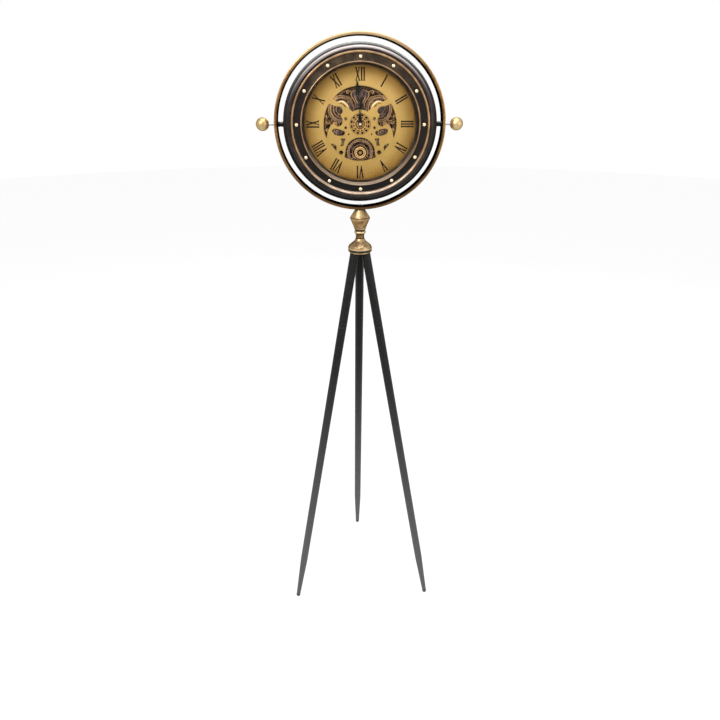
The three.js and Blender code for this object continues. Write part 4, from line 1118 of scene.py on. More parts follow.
def letter_x():
    """The outline of the letter X, walked round its four feet."""
    reach = 3.4
    high, low = top - SERIF_H, foot_line + SERIF_H
    wide, fine = THICK / 2, THIN / 2
    thick_left = ((-reach - wide, high), (reach - wide, low))
    thick_right = ((-reach + wide, high), (reach + wide, low))
    thin_left = ((reach - fine, high), (-reach - fine, low))
    thin_right = ((reach + fine, high), (-reach + fine, low))

    def foot_bar(centre, half, line, edge):
        """The serif bar at the end of a stroke."""
        ends = [(centre - half, line), (centre - half - SERIF_OUT, line)]
        ends += [(centre - half - SERIF_OUT, edge), (centre + half + SERIF_OUT, edge)]
        return [*ends, (centre + half + SERIF_OUT, line), (centre + half, line)]

    return [
        *foot_bar(-reach, wide, high, top),
        crossing(*thick_right, *thin_left),
        *foot_bar(reach, fine, high, top),
        crossing(*thick_right, *thin_right),
        *foot_bar(reach, wide, low, foot_line)[::-1],
        crossing(*thick_left, *thin_right),
        *foot_bar(-reach, fine, low, foot_line)[::-1],
        crossing(*thick_left, *thin_left),
    ]


LETTERS = {"I": letter_i(), "V": letter_v(), "X": letter_x()}

# %% The twelve numerals in their places
NUMERALS = ["I", "II", "III", "IV", "V", "VI", "VII", "VIII", "IX", "X", "XI", "XII"]
NUMERAL_R = 101.5
numeral_outlines = []
for hour, word in enumerate(NUMERALS, start=1):
    width = sum(LETTER_WIDTHS[letter] for letter in word)
    cursor = -width / 2
    turn = radians(-30 * hour)
    for letter in word:
        middle = cursor + LETTER_WIDTHS[letter] / 2
        cursor += LETTER_WIDTHS[letter]
        placed = []
        for x, z in LETTERS[letter]:
            across, up = x + middle, z + NUMERAL_R
            turned_x = across * cos(turn) - up * sin(turn)
            turned_z = across * sin(turn) + up * cos(turn)
            placed.append((turned_x, turned_z))
        numeral_outlines.append(placed)
paint_middle = on_head(0, DIAL_FACE_Y - 0.06, 0)
numerals = fretted("roman_numerals", numeral_outlines, 0.16, 0.03, paint_middle)
declare(numerals, "head", "hand_black", "numeral_paint")

# %% [markdown]
# ## Wheels
# The toothed wheels turn slowly behind the dial. A tooth needs only a tip, two flanks and a
# root, so the rim is drawn tooth by tooth and sawn like the dial, with five windows between
# spokes. Raised rings, dots and a hub are then added, because the real wheels are covered
# with stamped ornament and would look bare without it.

# %% Toothed rim, windows and ornament
GEAR_MODULE = 2
GEAR_FRONT_Y, GEAR_H = -1, 2.4
SATELLITE_TEETH, LOWER_TEETH, CENTRE_TEETH = 24, 30, 30
SATELLITE_CIRCLE_R = 54
PRESSURE_ANGLE = 20


def toothed(teeth, pitch_r, addendum, dedendum):
    """The rim of a wheel, with four corners to each tooth."""
    pitch = 2 * pi * pitch_r / teeth
    slope = tan(radians(PRESSURE_ANGLE))
    half_width = pitch * 0.44 / 2
    tip_r, root_r = pitch_r + addendum, pitch_r - dedendum
    tip_half = (half_width - slope * addendum) / tip_r
    root_half = (half_width + slope * dedendum) / root_r
    outline = []
    for tooth in range(teeth):
        middle = 2 * pi * tooth / teeth
        corners = [(root_r, -root_half), (tip_r, -tip_half)]
        corners += [(tip_r, tip_half), (root_r, root_half)]
        outline += [polar(r, degrees(middle + angle)) for r, angle in corners]
    return outline


def spoke_windows(pitch_r):
    """Five windows, which leave five spokes."""
    outlines = []
    for window in range(5):
        start, end = 72 * window + 10.8, 72 * (window + 1) - 10.8
        outer = bow(0, 0, pitch_r * 0.74, start, end, 8)
        outlines.append([*outer, *bow(0, 0, pitch_r * 0.3, end, start, 4)])
    return outlines


def raised_ring(radius, half_width, height, face_y, steps=72):
    """A half-round ring that stands proud of a wheel's face, on the axis of the dial."""
    section = oval(radius, face_y, half_width, -height, 0, 180, 6)
    section += [(radius - half_width, face_y + 0.3), (radius + half_width, face_y + 0.3)]
    return turned("ring", section, "Y", steps)


def dots(count, circle_r, radius, face_y):
    """A circle of small raised dots."""
    section = [(0, face_y - radius * 0.7), (radius * 0.6, face_y - radius * 0.55)]
    section += [(radius, face_y), (radius, face_y + 0.2), (0, face_y + 0.2)]
    first = turned("dot", section, "Y", 10)
    made = []
    for x, z in around(count, circle_r):
        made.append(copy_of(first, "dot_copy", Vector((x, 0, z)) * MM))
    bpy.data.objects.remove(first)
    return made


def wheel(name, teeth, windows, ornaments, hub_r=5, bore_r=2.3):
    """A toothed wheel on the axis of the dial, its face towards the glass."""
    pitch_r = GEAR_MODULE * teeth / 2
    rim = toothed(teeth, pitch_r, GEAR_MODULE * 0.85, GEAR_MODULE * 1.2)
    middle = Vector((0, GEAR_FRONT_Y + GEAR_H / 2, 0)) * MM
    outlines = [rim, *windows] if windows else [rim, circle(bore_r)]
    disc = fretted(name, outlines, GEAR_H, 0.25, middle)
    if windows:
        section = [(bore_r, 2.5), (hub_r, 2.5), (hub_r, -1.9), (hub_r - 0.8, -2.3)]
        section.append((bore_r, -2.3))
        ornaments = [turned("hub", section, "Y", 32), *ornaments]
    return joined(disc, *ornaments)


def mesh_start(direction, teeth):
    """Where a follower's first tooth stands when it meshes with the centre wheel."""
    along = radians(direction)
    phase = along * CENTRE_TEETH / (2 * pi)
    offset = 0.5 - (phase - floor(phase))
    return degrees(along + pi - 2 * pi / teeth * offset) % (360 / teeth)


# %% Four satellites
satellite_ornaments = [
    raised_ring(21.2, 0.7, 0.7, GEAR_FRONT_Y),
    raised_ring(9.4, 0.7, 0.6, GEAR_FRONT_Y),
    *dots(18, 19.0, 0.8, GEAR_FRONT_Y),
    *dots(8, 7.0, 0.8, GEAR_FRONT_Y),
]
satellite_r = GEAR_MODULE * SATELLITE_TEETH / 2
satellite = wheel(
    "satellite_pattern", SATELLITE_TEETH, spoke_windows(satellite_r), satellite_ornaments
)
satellite_bodies = {"right": 0, "upper_right": 60, "upper_left": 120, "left": 180}
for side, direction in satellite_bodies.items():
    x, z = polar(SATELLITE_CIRCLE_R, direction)
    start = mesh_start(direction, SATELLITE_TEETH)
    twin = copy_of(satellite, f"satellite_{side}", on_head(x, 0, z), about_y(-start))
    declare(twin, f"wheel_{side}", "gear_bronze", "satellite_bronze", f"gear_{side}")
bpy.data.objects.remove(satellite)

# %% Lower wheel
lower_ornaments = [
    raised_ring(27.2, 0.7, 0.7, GEAR_FRONT_Y, 96),
    raised_ring(24.2, 0.6, 0.6, GEAR_FRONT_Y, 96),
    raised_ring(16.2, 0.6, 0.6, GEAR_FRONT_Y),
    *dots(24, 26.0, 0.7, GEAR_FRONT_Y),
    rod("arbor", "Y", 1.6, -6, 6.7, (0, 0, 0), 24, 0.2),
]
lower_r = GEAR_MODULE * LOWER_TEETH / 2
lower_windows = spoke_windows(lower_r)
lower = wheel("lower_wheel_pattern", LOWER_TEETH, lower_windows, lower_ornaments, bore_r=1.2)
start = mesh_start(270, LOWER_TEETH)
lower_wheel = copy_of(lower, "lower_wheel", on_head(0, 0, LOWER_Z), about_y(-start))
bpy.data.objects.remove(lower)
declare(lower_wheel, "wheel_lower", "gear_bronze", "wheel_bronze", "gear_lower")

# %% Gold pinion, a toothed rim with a turned dish in it
PINION_FRONT_Y, PINION_H = -7, 2.2
PINION_TEETH, PINION_R = 16, 12.4
pinion_rim = toothed(PINION_TEETH, PINION_R, 1.8, 0)
pinion_middle = Vector((0, PINION_FRONT_Y + PINION_H / 2, 0)) * MM
pinion = fretted("gold_pinion", [pinion_rim, circle(9.0, 45)], PINION_H, 0.3, pinion_middle)
pinion_dish = [
    (1.9, -1.6),
    (5.0, -1.6),
    (5.0, -4.4),
    (9.2, -4.4),
    (9.2, -6.2),
    (9.0, -7.4),
    (8.1, -8.0),
    (7.2, -7.4),
    (6.9, -6.0),
    (6.7, -5.0),
    (4.2, -5.0),
    (4.0, -6.4),
    (3.2, -6.9),
    (1.9, -6.9),
]
joined(
    pinion,
    turned("dish", pinion_dish, "Y", 48),
    raised_ring(11.4, 1.0, 0.95, PINION_FRONT_Y),
    *dots(16, 12.6, 0.6, PINION_FRONT_Y),
)
seat(pinion, on_head(0, 0, LOWER_Z))
declare(pinion, "wheel_lower", "aged_brass", "pinion_gold", "pinion_lower")

# %% [markdown]
# ## Centre wheel
# The wheel under the hands is the showpiece: a gold face with a ring of dark holes, a
# raised scalloped collar and pointed petals round the hub. The petals and the collar are
# drawn as outlines in polar form, where a radius that swings with the angle gives lobes.

# %% Centre wheel
def lobed(radius, swing, lobes, sharp=1.0, points_per_lobe=8):
    """An outline whose radius swings with the angle: lobes, or petals when it is sharp."""
    count = lobes * points_per_lobe
    outline = []
    for place in range(count):
        wave = 0.5 + 0.5 * cos(2 * pi * place / points_per_lobe)
        outline.append(polar(radius + swing * wave ** sharp, 360 * place / count))
    return outline


def round_the_hub(name, outlines, thickness, edge, middle_y):
    """A sheet on the axis of the dial, still at the world's origin."""
    return fretted(name, outlines, thickness, edge, Vector((0, middle_y, 0)) * MM)


centre = wheel("centre_wheel", CENTRE_TEETH, None, [], bore_r=6.9)
face_holes = []
for place in range(12):
    outer = bow(0, 0, 20.9, 30 * place + 22.2, 30 * place + 7.8, 5)
    inner = bow(0, 0, 17.0, 30 * place + 8.6, 30 * place + 21.4, 4)
    face_holes.append([*inner, *outer])
face = round_the_hub("face", [circle(21.9, 72), circle(15.3, 60), *face_holes], 1.4, 0.2, -5.3)
rear_drum = [(4.8, -4.7), (11.0, -4.7), (11.0, -5.6), (15.6, -5.6), (15.6, 0.5)]
rear_drum += [(6.9, 0.5), (6.9, 2.5), (4.8, 2.5)]
scallops = [lobed(11.3, 3.4, 12, 1.2, 10), circle(10.3, 60)]
collar_ring = round_the_hub("scallops", scallops, 2.2, 0.4, -5.8)
petal_outlines = [lobed(5.9, 3.7, 12, 1.6, 10), circle(4.8)]
petals = round_the_hub("petals", petal_outlines, 2.1, 0.25, -5.7)
joined(
    centre,
    face,
    turned("drum", rear_drum, "Y", 48),
    collar_ring,
    petals,
    raised_ring(21.4, 0.4, 0.6, -6.0),
    raised_ring(15.9, 0.4, 0.5, -6.0),
)
seat(centre, HEAD)
declare(centre, "wheel_centre", "dial_gold", "wheel_gold", "gear_centre")

# %% [markdown]
# ## Gear plate
# Behind the wheels a dark plate carries the pins and fills the openings with scrollwork in
# low relief: bands that follow the openwork, and pairs of curled leaves. The scrolls are
# spirals from a formula, laid as half-sunk wires. That reads as engraving from any side,
# which a bump pattern would not.

# %% Plate, pins and posts
GEAR_PLATE_R, GEAR_PLATE_FRONT_Y, GEAR_PLATE_SHEET = 86.7, 2.8, 1.2
PIN_R, POST_R, POST_CIRCLE_R = 2, 2.5, 83.2
plate_outlines = [circle(GEAR_PLATE_R, 120), circle(4.8), circle(1.9, 24, 0, LOWER_Z)]
plate_middle = on_head(0, GEAR_PLATE_FRONT_Y + GEAR_PLATE_SHEET / 2, 0)
gear_plate = fretted("gear_plate_sheet", plate_outlines, GEAR_PLATE_SHEET, 0.2, plate_middle)
pins = []
for direction in satellite_bodies.values():
    x, z = polar(SATELLITE_CIRCLE_R, direction)
    pins.append(rod("pin", "Y", PIN_R, -1.6, 3.4, on_head(x, 0, z), 20, 0.3))
for x, z in around(4, POST_CIRCLE_R, start=30):
    pins.append(rod("post", "Y", POST_R, -4.7, 3.4, on_head(x, 0, z), 20, 0.3))
print(len(pins), "pins and posts on the gear plate")

# %% Scrollwork in low relief
SCROLLS = [
    (66, 12, 9, 1.5, 60, 520),
    (70, -12, 6, 1.0, 100, -430),
    (58, 30, 7, 1.2, 20, 430),
    (52, -22, 8, 1.2, 150, -470),
    (44, 64, 8, 1.2, 30, 480),
    (10, 70, 6, 1.0, 90, -430),
    (34, 74, 5, 1.0, 10, 400),
    (40, -38, 6, 1.0, 90, 430),
    (20, -66, 7, 1.0, 0, -450),
    (62, -44, 6, 1.0, 120, 400),
]
relief = []
for spiral in SCROLLS:
    line = scroll(*spiral)
    for path in (line, mirrored(line)):
        relief.append(wire("scroll", path, 0.9, GEAR_PLATE_FRONT_Y))
rims = [raised_ring(radius, 0.5, 0.8, GEAR_PLATE_FRONT_Y, 120) for radius in (77.6, 74.4)]
for rim in rims:
    seat(rim, HEAD)
dot_ring = seat(joined(*dots(60, 76.0, 0.6, GEAR_PLATE_FRONT_Y)), HEAD)
joined(gear_plate, *pins, *relief, *rims, dot_ring)
declare(gear_plate, "head", "gear_bronze", "scroll_bronze", "gear_plate")

# %% [markdown]
# ## Hands
# Both hands are blackened steel: a drop-shaped boss, a thin stem and a leaf. The minute
# hand's leaf is near its tip and the hour hand's is shorter. One half of each is drawn
# through measured points and mirrored. They are thin sheet, so the fretsaw cuts them.

# %% Hands
HAND_SHEET = 0.7
HOUR_Y, MINUTE_Y = -9.6, -11.4
HOUR_HALF = [(0, -6.2), (3.4, -4.6), (5.2, -0.8), (4.7, 4.0), (2.6, 11), (0.9, 21)]
HOUR_HALF += [(0.75, 28), (1.7, 31.5), (3.3, 36.5), (2.5, 42.5), (1.2, 50), (0, 58)]
MINUTE_HALF = [(0, -6.4), (2.6, -5.2), (5.1, -1.6), (5.2, 1.2), (4.3, 5.5), (2.8, 12)]
MINUTE_HALF += [(1.5, 19), (0.85, 26), (0.8, 54), (1.2, 60), (5.0, 66.8), (4.3, 71)]
MINUTE_HALF += [(3.1, 78), (1.9, 85), (0, 91)]


def hand(name, half_outline, face_y, clockwise, boss_bore):
    """A hand from the right half of its outline, turned to the time it shows."""
    right = fair(half_outline, 6)
    outline = [*right, *mirrored(right)[::-1][1:-1]]
    place = on_head(0, face_y + HAND_SHEET / 2, 0)
    outlines = [outline, circle(boss_bore)]
    return fretted(name, outlines, HAND_SHEET, 0.18, place, about_y(clockwise))


hour_hand = hand("hour_hand_blade", HOUR_HALF, HOUR_Y, 3, 1.9)
joined(hour_hand, turned("tube", oblong(1.8, 2.7, HOUR_Y + 0.1, 4.3), "Y", 24, 0, HEAD))
declare(hour_hand, "hand_hour", "hand_black", "hand_black", "hour_hand")
minute_hand = hand("minute_hand_blade", MINUTE_HALF, MINUTE_Y, -4.3, 1.3)
joined(minute_hand, rod("shaft", "Y", 1.5, MINUTE_Y - 1.2, 4.6, HEAD, 24, 0.2))
declare(minute_hand, "hand_minute", "hand_black", "hand_black", "minute_hand")

# %% Nut of the hands
nut_section = [
    (1.8, MINUTE_Y - 0.3),
    (3.0, MINUTE_Y - 0.3),
    (3.0, MINUTE_Y - 0.9),
    *oval(0, MINUTE_Y - 0.9, 2.9, -1.8, 10, 80, 5),
    (0, MINUTE_Y - 2.7),
    (0, MINUTE_Y - 1.8),
    (1.8, MINUTE_Y - 1.8),
]
hand_nut = turned("hand_nut_dome", nut_section, "Y", 32, 0, HEAD, smooth=40)
declare(hand_nut, "hand_minute", "aged_brass", "screw_brass", "hand_nut")

# %% [markdown]
# ## Rear cover
# The photo doesn't show the back. A clock of this kind has a plain sheet cover there, with
# windows for the movement and the gear motor. It is sawn like the dial and gets two pressed
# beads, which such covers have so that the thin sheet doesn't ring. Four pillars behind it
# hold the dial.

# %% Rear cover
COVER_Y, COVER_SHEET, COVER_R = 24.3, 1.2, 147.5
COVER_SCREW_CIRCLE_R, PILLAR_CIRCLE_R, PILLAR_R = 143, 106.35, 4
MOVEMENT_W, MOTOR_W, MOTOR_H = 56, 44, 32


def rounded_frame(width, height, x, z, corner):
    """A rectangle with round corners, as an outline."""
    half_w, half_h = width / 2 - corner, height / 2 - corner
    corners = [(half_w, half_h, 0), (-half_w, half_h, 90)]
    corners += [(-half_w, -half_h, 180), (half_w, -half_h, 270)]
    outline = []
    for dx, dz, start in corners:
        outline += bow(x + dx, z + dz, corner, start, start + 90, 5)
    return outline


cover_outlines = [
    circle(COVER_R, 180),
    rounded_frame(MOVEMENT_W + 2 * GAP, MOVEMENT_W + 2 * GAP, 0, 0, 1.6),
    rounded_frame(MOTOR_W + 2 * GAP, MOTOR_H + 2 * GAP, 0, LOWER_Z, 1.2),
]
cover_screw_places = around(3, COVER_SCREW_CIRCLE_R, start=90)
cover_outlines += [circle(1.9, 24, x, z) for x, z in cover_screw_places]
cover_middle = on_head(0, COVER_Y + COVER_SHEET / 2, 0)
rear_cover = fretted("rear_cover_sheet", cover_outlines, COVER_SHEET, 0.3, cover_middle)
pillars = []
for x, z in around(4, PILLAR_CIRCLE_R, start=45):
    pillars.append(rod("pillar", "Y", PILLAR_R, -4.7, 25, on_head(x, 0, z), 24, 0.4))
cover_beads = []
for radius in (132, 92):
    crown = oval(radius, 25.4, -2.2, 0.9, 20, 160, 7)
    section = [(radius - 2.6, 25.3), *crown, (radius + 2.6, 25.3)]
    cover_beads.append(turned("bead", section, "Y", 160, 0, HEAD))
joined(rear_cover, *pillars, *cover_beads)
declare(rear_cover, "head", "case_bronze", "cover_paint", "rear_cover")

# %% Cover screws with crossed slots
cover_screw_section = [
    (0, 27.8),
    (1.6, 27.7),
    (2.7, 27.3),
    (3.3, 26.6),
    (3.4, 25.8),
    (1.6, 25.8),
    (1.6, 21.2),
    (1.2, 20.9),
    (0, 20.9),
]
for number, (x, z) in enumerate(cover_screw_places, start=1):
    pan = turned(f"pan_screw_{number}", cover_screw_section, "Y", 32, 0, on_head(x, 0, z))
    cut_with(
        pan,
        block("slot", 5.2, 0.9, 26.7, 29, x, z),
        block("slot", 0.9, 5.2, 26.7, 29, x, z),
    )
    declare(pan, "head", "bright_steel", "steel", f"cover_screw_{number}")

# %% [markdown]
# ## Movement, cell, set knob and motor
# A standard black movement fills the cover's upper window. It has an open bay with one cell
# and a ribbed knob for setting the hands. The boxes begin as bevelled blocks. Ribs, a bay,
# clips and screws then turn them into moulded parts.

# %% Movement case with its battery bay
MOVEMENT_FRONT_Y, MOVEMENT_BACK_Y = 4.3, 27.5
BATTERY_Z, SET_KNOB_Z = -16.8, 14
BAY_W, BAY_H, BAY_FLOOR_Y = 51.2, 15.6, 13.1
depths = (MOVEMENT_FRONT_Y, MOVEMENT_BACK_Y)
movement = block("movement_body", MOVEMENT_W, MOVEMENT_W, *depths, edge=1.4)
bushing_section = [(3, 4.9), (4.5, 4.9), (4.5, -8.3), (4.2, -8.6), (3, -8.6)]
bushing = turned("bushing", bushing_section, "Y", 40, 0, HEAD)
cut_with(
    movement,
    rod("bore", "Y", 3, 0, 6.7, HEAD, 32),
    block("bay", BAY_W, BAY_H, BAY_FLOOR_Y, 32, 0, BATTERY_Z, 0.6),
    rod("well", "Y", 10.5, 26.3, 30, on_head(0, 0, SET_KNOB_Z), 48),
    rod("knob_hole", "Y", 2.3, 25.1, 30, on_head(0, 0, SET_KNOB_Z), 24),
)
ribs = [block("rib", 50, 0.7, 26.9, 27.5, 0, z, 0.1) for z in (-5.6, 0.6, 1.9, 26.6)]
springs = [block("spring", 0.5, 9, 15, 25.5, x, BATTERY_Z, 0.1) for x in (-25.3, 25.3)]
joined(movement, bushing, *ribs)
seat(movement)
declare(movement, "head", "movement_plastic", "movement_plastic", "movement_case")
contact = seat(joined(*springs))
contact.name = "cell_contacts"
declare(contact, "head", "bright_steel", "steel")

# %% Cell
CELL_R = 7.2
cell_section = [
    (0, -25),
    (4.6, -25),
    (4.8, -24.8),
    (6.9, -24.7),
    (CELL_R, -24.3),
    (CELL_R, 23.3),
    (6.9, 23.6),
    (6.2, 23.7),
    (3.0, 23.8),
    (2.8, 24.0),
    (2.8, 24.8),
    (2.6, 25),
    (0, 25),
]
cell_place = on_head(0, MOVEMENT_BACK_Y - CELL_R + 0.3, BATTERY_Z)
cell = turned("cell", cell_section, "X", 48, 0, cell_place)
declare(cell, "head", "cell_jacket", "cell_jacket", "battery")

# %% Set knob and gear motor
knob_plate = round_the_hub("ribbed_knob", [lobed(7.6, 0.4, 24, 1.0, 6)], 5.7, 0.4, 30.65)
knob_stem = rod("stem", "Y", 2, 25.4, 28.2, (0, 0, 0), 24, 0.2)
knob_dish = turned("dish", [(0, 33), (5.2, 33), (5.8, 34.4), (0, 34.4)], "Y", 40)
joined(knob_plate, knob_stem)
cut_with(knob_plate, knob_dish)
seat(knob_plate, on_head(0, 0, SET_KNOB_Z))
declare(knob_plate, "setter", "movement_plastic", "movement_plastic", "set_knob")

motor = block("motor_body", MOTOR_W, MOTOR_H, *depths, 0, LOWER_Z, 1.2)
cut_with(motor, rod("bore", "Y", 1.9, 0, 7, on_head(0, 0, LOWER_Z), 24))
groove_places = (-9, -5.4, -1.8, 1.8, 5.4, 9)
grooves = [block("groove", 30, 1.2, 26.7, 30, 0, LOWER_Z + z) for z in groove_places]
cut_with(motor, *grooves)
declare(motor, "head", "movement_plastic", "movement_plastic", "gear_motor")

# %% [markdown]
# ## Finishes: helpers
# A finish is a small network of nodes on one Principled shader. A few helpers keep such
# networks short to read: one adds a node and wires its inputs, and the others multiply,
# mix two colours, glaze one thinly over another or change the range of a value. Colours
# are given as they look on screen and turned into the linear values that the shader wants.

# %% Node helpers
def tint(red, green, blue):
    """A colour as it looks on screen, from 0 to 255, as linear values for a shader."""
    linear = []
    for value in (red, green, blue):
        share = value / 255
        linear.append(share / 12.92 if share <= 0.04045 else ((share + 0.055) / 1.055) ** 2.4)
    return (*linear, 1.0)


def add(tree, kind, wires=None, **settings):
    """Adds a node. Wires are sockets or plain values for its inputs, by name or number."""
    made = tree.nodes.new("ShaderNode" + kind)
    for setting, value in settings.items():
        setattr(made, setting, value)
    for socket, value in (wires or {}).items():
        if isinstance(value, bpy.types.NodeSocket):
            tree.links.new(value, made.inputs[socket])
        else:
            made.inputs[socket].default_value = value
    return made


def sums(tree, how, first, second=0.0, limit=False):
    return add(tree, "Math", {0: first, 1: second}, operation=how, use_clamp=limit).outputs[0]


def times(tree, first, second):
    return sums(tree, "MULTIPLY", first, second)


def mixed(tree, share, first, second):
    return add(tree, "Mix", {0: share, 6: first, 7: second}, data_type="RGBA").outputs[2]


def glazed(tree, colour, mask, strength, glaze):
    """Lays a thin coat of another colour over a colour, where the mask says."""
    return mixed(tree, times(tree, mask, strength), colour, glaze)


def ranged(tree, value, low, high, out_low=0.0, out_high=1.0):
    """Takes a value from one range to another, softly at both ends."""
    wires = {0: value, 1: low, 2: high, 3: out_low, 4: out_high}
    return add(tree, "MapRange", wires, interpolation_type="SMOOTHSTEP").outputs[0]


def between(tree, share, low, high):
    """Takes a share from 0 to 1 to a value between two others."""
    return ranged(tree, share, 0.0, 1.0, low, high)


def noise(tree, vector, scale, detail):
    wires = {"Vector": vector, "Scale": scale, "Detail": detail}
    return add(tree, "TexNoise", wires).outputs[0]


def own_place(tree, which="Object"):
    """The place of a point on the piece, or with Normal the way that its surface faces."""
    return add(tree, "TexCoord").outputs[which]


def one_axis(tree, number, which="Object"):
    """One coordinate alone: 0 is across, 1 is depth and 2 is height."""
    return add(tree, "SeparateXYZ", {0: own_place(tree, which)}).outputs[number]


# %% [markdown]
# ## Finishes: shared effects
# Five effects come back in most materials, so each is a node group with named inputs:
# the place round the dial's axis, a soft band at a radius or height, mottled patina, fine
# grain with dust on what faces up, and a painted pale highlight on whatever faces upwards.
# The groups give only values. The shader stays in the material.

# %% Starting a group, and placing one in a material
def start_group(name, inputs, outputs):
    """A node group. Its inputs come with the values that they have when left alone."""
    group = bpy.data.node_groups.new(name, "ShaderNodeTree")
    for label, value in inputs.items():
        kind = "NodeSocketFloat" if isinstance(value, float) else "NodeSocketVector"
        socket = group.interface.new_socket(label, in_out="INPUT", socket_type=kind)
        socket.default_value = value
    for label in outputs:
        group.interface.new_socket(label, in_out="OUTPUT", socket_type="NodeSocketFloat")
    entry = group.nodes.new("NodeGroupInput")
    leave = group.nodes.new("NodeGroupOutput")
    return group, entry.outputs, leave.inputs


def effect(tree, group, *values):
    """Places a group in a material. The values go to its inputs, in their order."""
    return add(tree, "Group", dict(enumerate(values)), node_tree=group).outputs


# %% Place round the dial, and a soft band
place_group, given, out = start_group(
    "Place Round The Dial", {"Centre": tuple(HEAD)}, ["Radius", "Depth", "Height", "Angle"]
)
wires = {0: own_place(place_group), 1: given["Centre"]}
local = add(place_group, "VectorMath", wires, operation="SUBTRACT").outputs[0]
parts = add(place_group, "SeparateXYZ", {0: local}).outputs
flat = add(place_group, "CombineXYZ", {0: parts[0], 2: parts[2]}).outputs[0]
length = add(place_group, "VectorMath", {0: flat}, operation="LENGTH").outputs["Value"]
for label, metres in (("Radius", length), ("Depth", parts[1]), ("Height", parts[2])):
    place_group.links.new(times(place_group, metres, 1 / MM), out[label])
place_group.links.new(sums(place_group, "ARCTAN2", parts[2], parts[0]), out["Angle"])

band_group, given, out = start_group(
    "Soft Band", {"Value": 0.0, "Middle": 0.0, "Half Width": 1.0, "Blur": 1.0}, ["Mask"]
)
away = sums(band_group, "ABSOLUTE", sums(band_group, "SUBTRACT", given["Value"], given["Middle"]))
edge = sums(band_group, "ADD", given["Half Width"], given["Blur"])
mask = ranged(band_group, away, given["Half Width"], edge, 1.0, 0.0)
band_group.links.new(mask, out["Mask"])

# %% Patina
patina_group, given, out = start_group(
    "Mottled Patina", {"Size": 120.0, "Low": 0.42, "High": 0.62}, ["Blotches", "Specks"]
)
here = own_place(patina_group)
broad = noise(patina_group, here, given["Size"], 5.0)
blotches = ranged(patina_group, broad, given["Low"], given["High"])
patina_group.links.new(blotches, out["Blotches"])
fine = noise(patina_group, here, times(patina_group, given["Size"], 7.0), 3.0)
patina_group.links.new(ranged(patina_group, fine, 0.52, 0.7), out["Specks"])

# %% Grain and dust
grain_group, given, out = start_group(
    "Grain And Dust", {"Grain Size": 900.0, "Dust": 0.3}, ["Height", "Dust Mask"]
)
here = own_place(grain_group)
grain_group.links.new(noise(grain_group, here, given["Grain Size"], 2.0), out["Height"])
upward = ranged(grain_group, one_axis(grain_group, 2, "Normal"), 0.25, 1.0)
dust_and_highlight_share = times(grain_group, upward, noise(grain_group, here, 60.0, 4.0))
grain_group.links.new(times(grain_group, dust_and_highlight_share, given["Dust"]), out["Dust Mask"])

# %% Painted highlight on what faces up
# A painted highlight: a pale share on whatever faces upwards, standing for the light from above on
# the tops of the case and the bezel.
top_highlight_group, given, out = start_group(
    "Pale Bloom", {"Start": 0.3, "Full": 0.9, "Strength": 0.5}, ["Bloom"]
)
upward = one_axis(top_highlight_group, 2, "Normal")
dust_and_highlight_share = ranged(top_highlight_group, upward, given["Start"], given["Full"])
cloud = noise(top_highlight_group, own_place(top_highlight_group), 22.0, 3.0)
patchy = times(top_highlight_group, dust_and_highlight_share, ranged(top_highlight_group, cloud, 0.2, 0.6, 0.75, 1.0))
top_highlight_group.links.new(times(top_highlight_group, patchy, given["Strength"]), out["Bloom"])
print(len(bpy.data.node_groups), "node groups")

# %% Starting and finishing a material
NO_TINT = (0.0, 0.0, 0.0, 1.0)
finishes = {}


def start_finish(name, **plain):
    """A material with one Principled shader. Plain values go on the shader's own sockets."""
    material = bpy.data.materials.new(name)
    material.use_nodes = True
    shader = material.node_tree.nodes["Principled BSDF"]
    for label, value in plain.items():
        shader.inputs[label.replace("_", " ")].default_value = value
    finishes[name] = material
    return material.node_tree, shader.inputs


def finish_off(tree, shader, colour, rough, height=None, strength=0.2, depth_mm=0.03):
    """Wires colour, roughness and a bump of so many millimetres into the shader."""
    tree.links.new(colour, shader["Base Color"])
    tree.links.new(rough, shader["Roughness"])
    if height is not None:
        wires = {"Strength": strength, "Distance": depth_mm * MM, "Height": height}
        tree.links.new(add(tree, "Bump", wires).outputs[0], shader["Normal"])


# %% [markdown]
# ## Black and bronze paints
# The legs are charcoal satin paint. They are darker near the hub and paler near the floor, as
# painted light from the floor below, so the colour follows the height. The collar is the same
# paint in black. The case and the cover are a very dark bronze paint. The case is painted
# nearly black low down as shade, and carries a painted pale highlight on what faces upwards.

# %% Leg, collar, case, cover and hoop paint
def painted(name, low_colour, high_colour, low_z, high_z, roughness, dust, gloss, top_highlight=0.0):
    tree, shader = start_finish(name, Metallic=0.0, Specular_IOR_Level=gloss)
    patina = effect(tree, patina_group, 45.0, 0.45, 0.7)
    grain = effect(tree, grain_group, 1100.0, dust)
    # For the legs and the case this blend by height is painted light: legs paler towards the
    # floor, and a case nearly black below and lighter above.
    colour = mixed(tree, ranged(tree, one_axis(tree, 2), low_z, high_z), low_colour, high_colour)
    colour = glazed(tree, colour, patina["Specks"], 0.15, tint(84, 80, 76))
    colour = mixed(tree, grain["Dust Mask"], colour, tint(150, 146, 138))
    # Painted highlight: pale grey on what faces upwards.
    if top_highlight:
        pale = effect(tree, top_highlight_group, 0.2, 0.85, top_highlight)["Bloom"]
        colour = mixed(tree, pale, colour, tint(142, 145, 142))
    rough = between(tree, patina["Blotches"], roughness, roughness + 0.1)
    finish_off(tree, shader, colour, rough, grain["Height"])


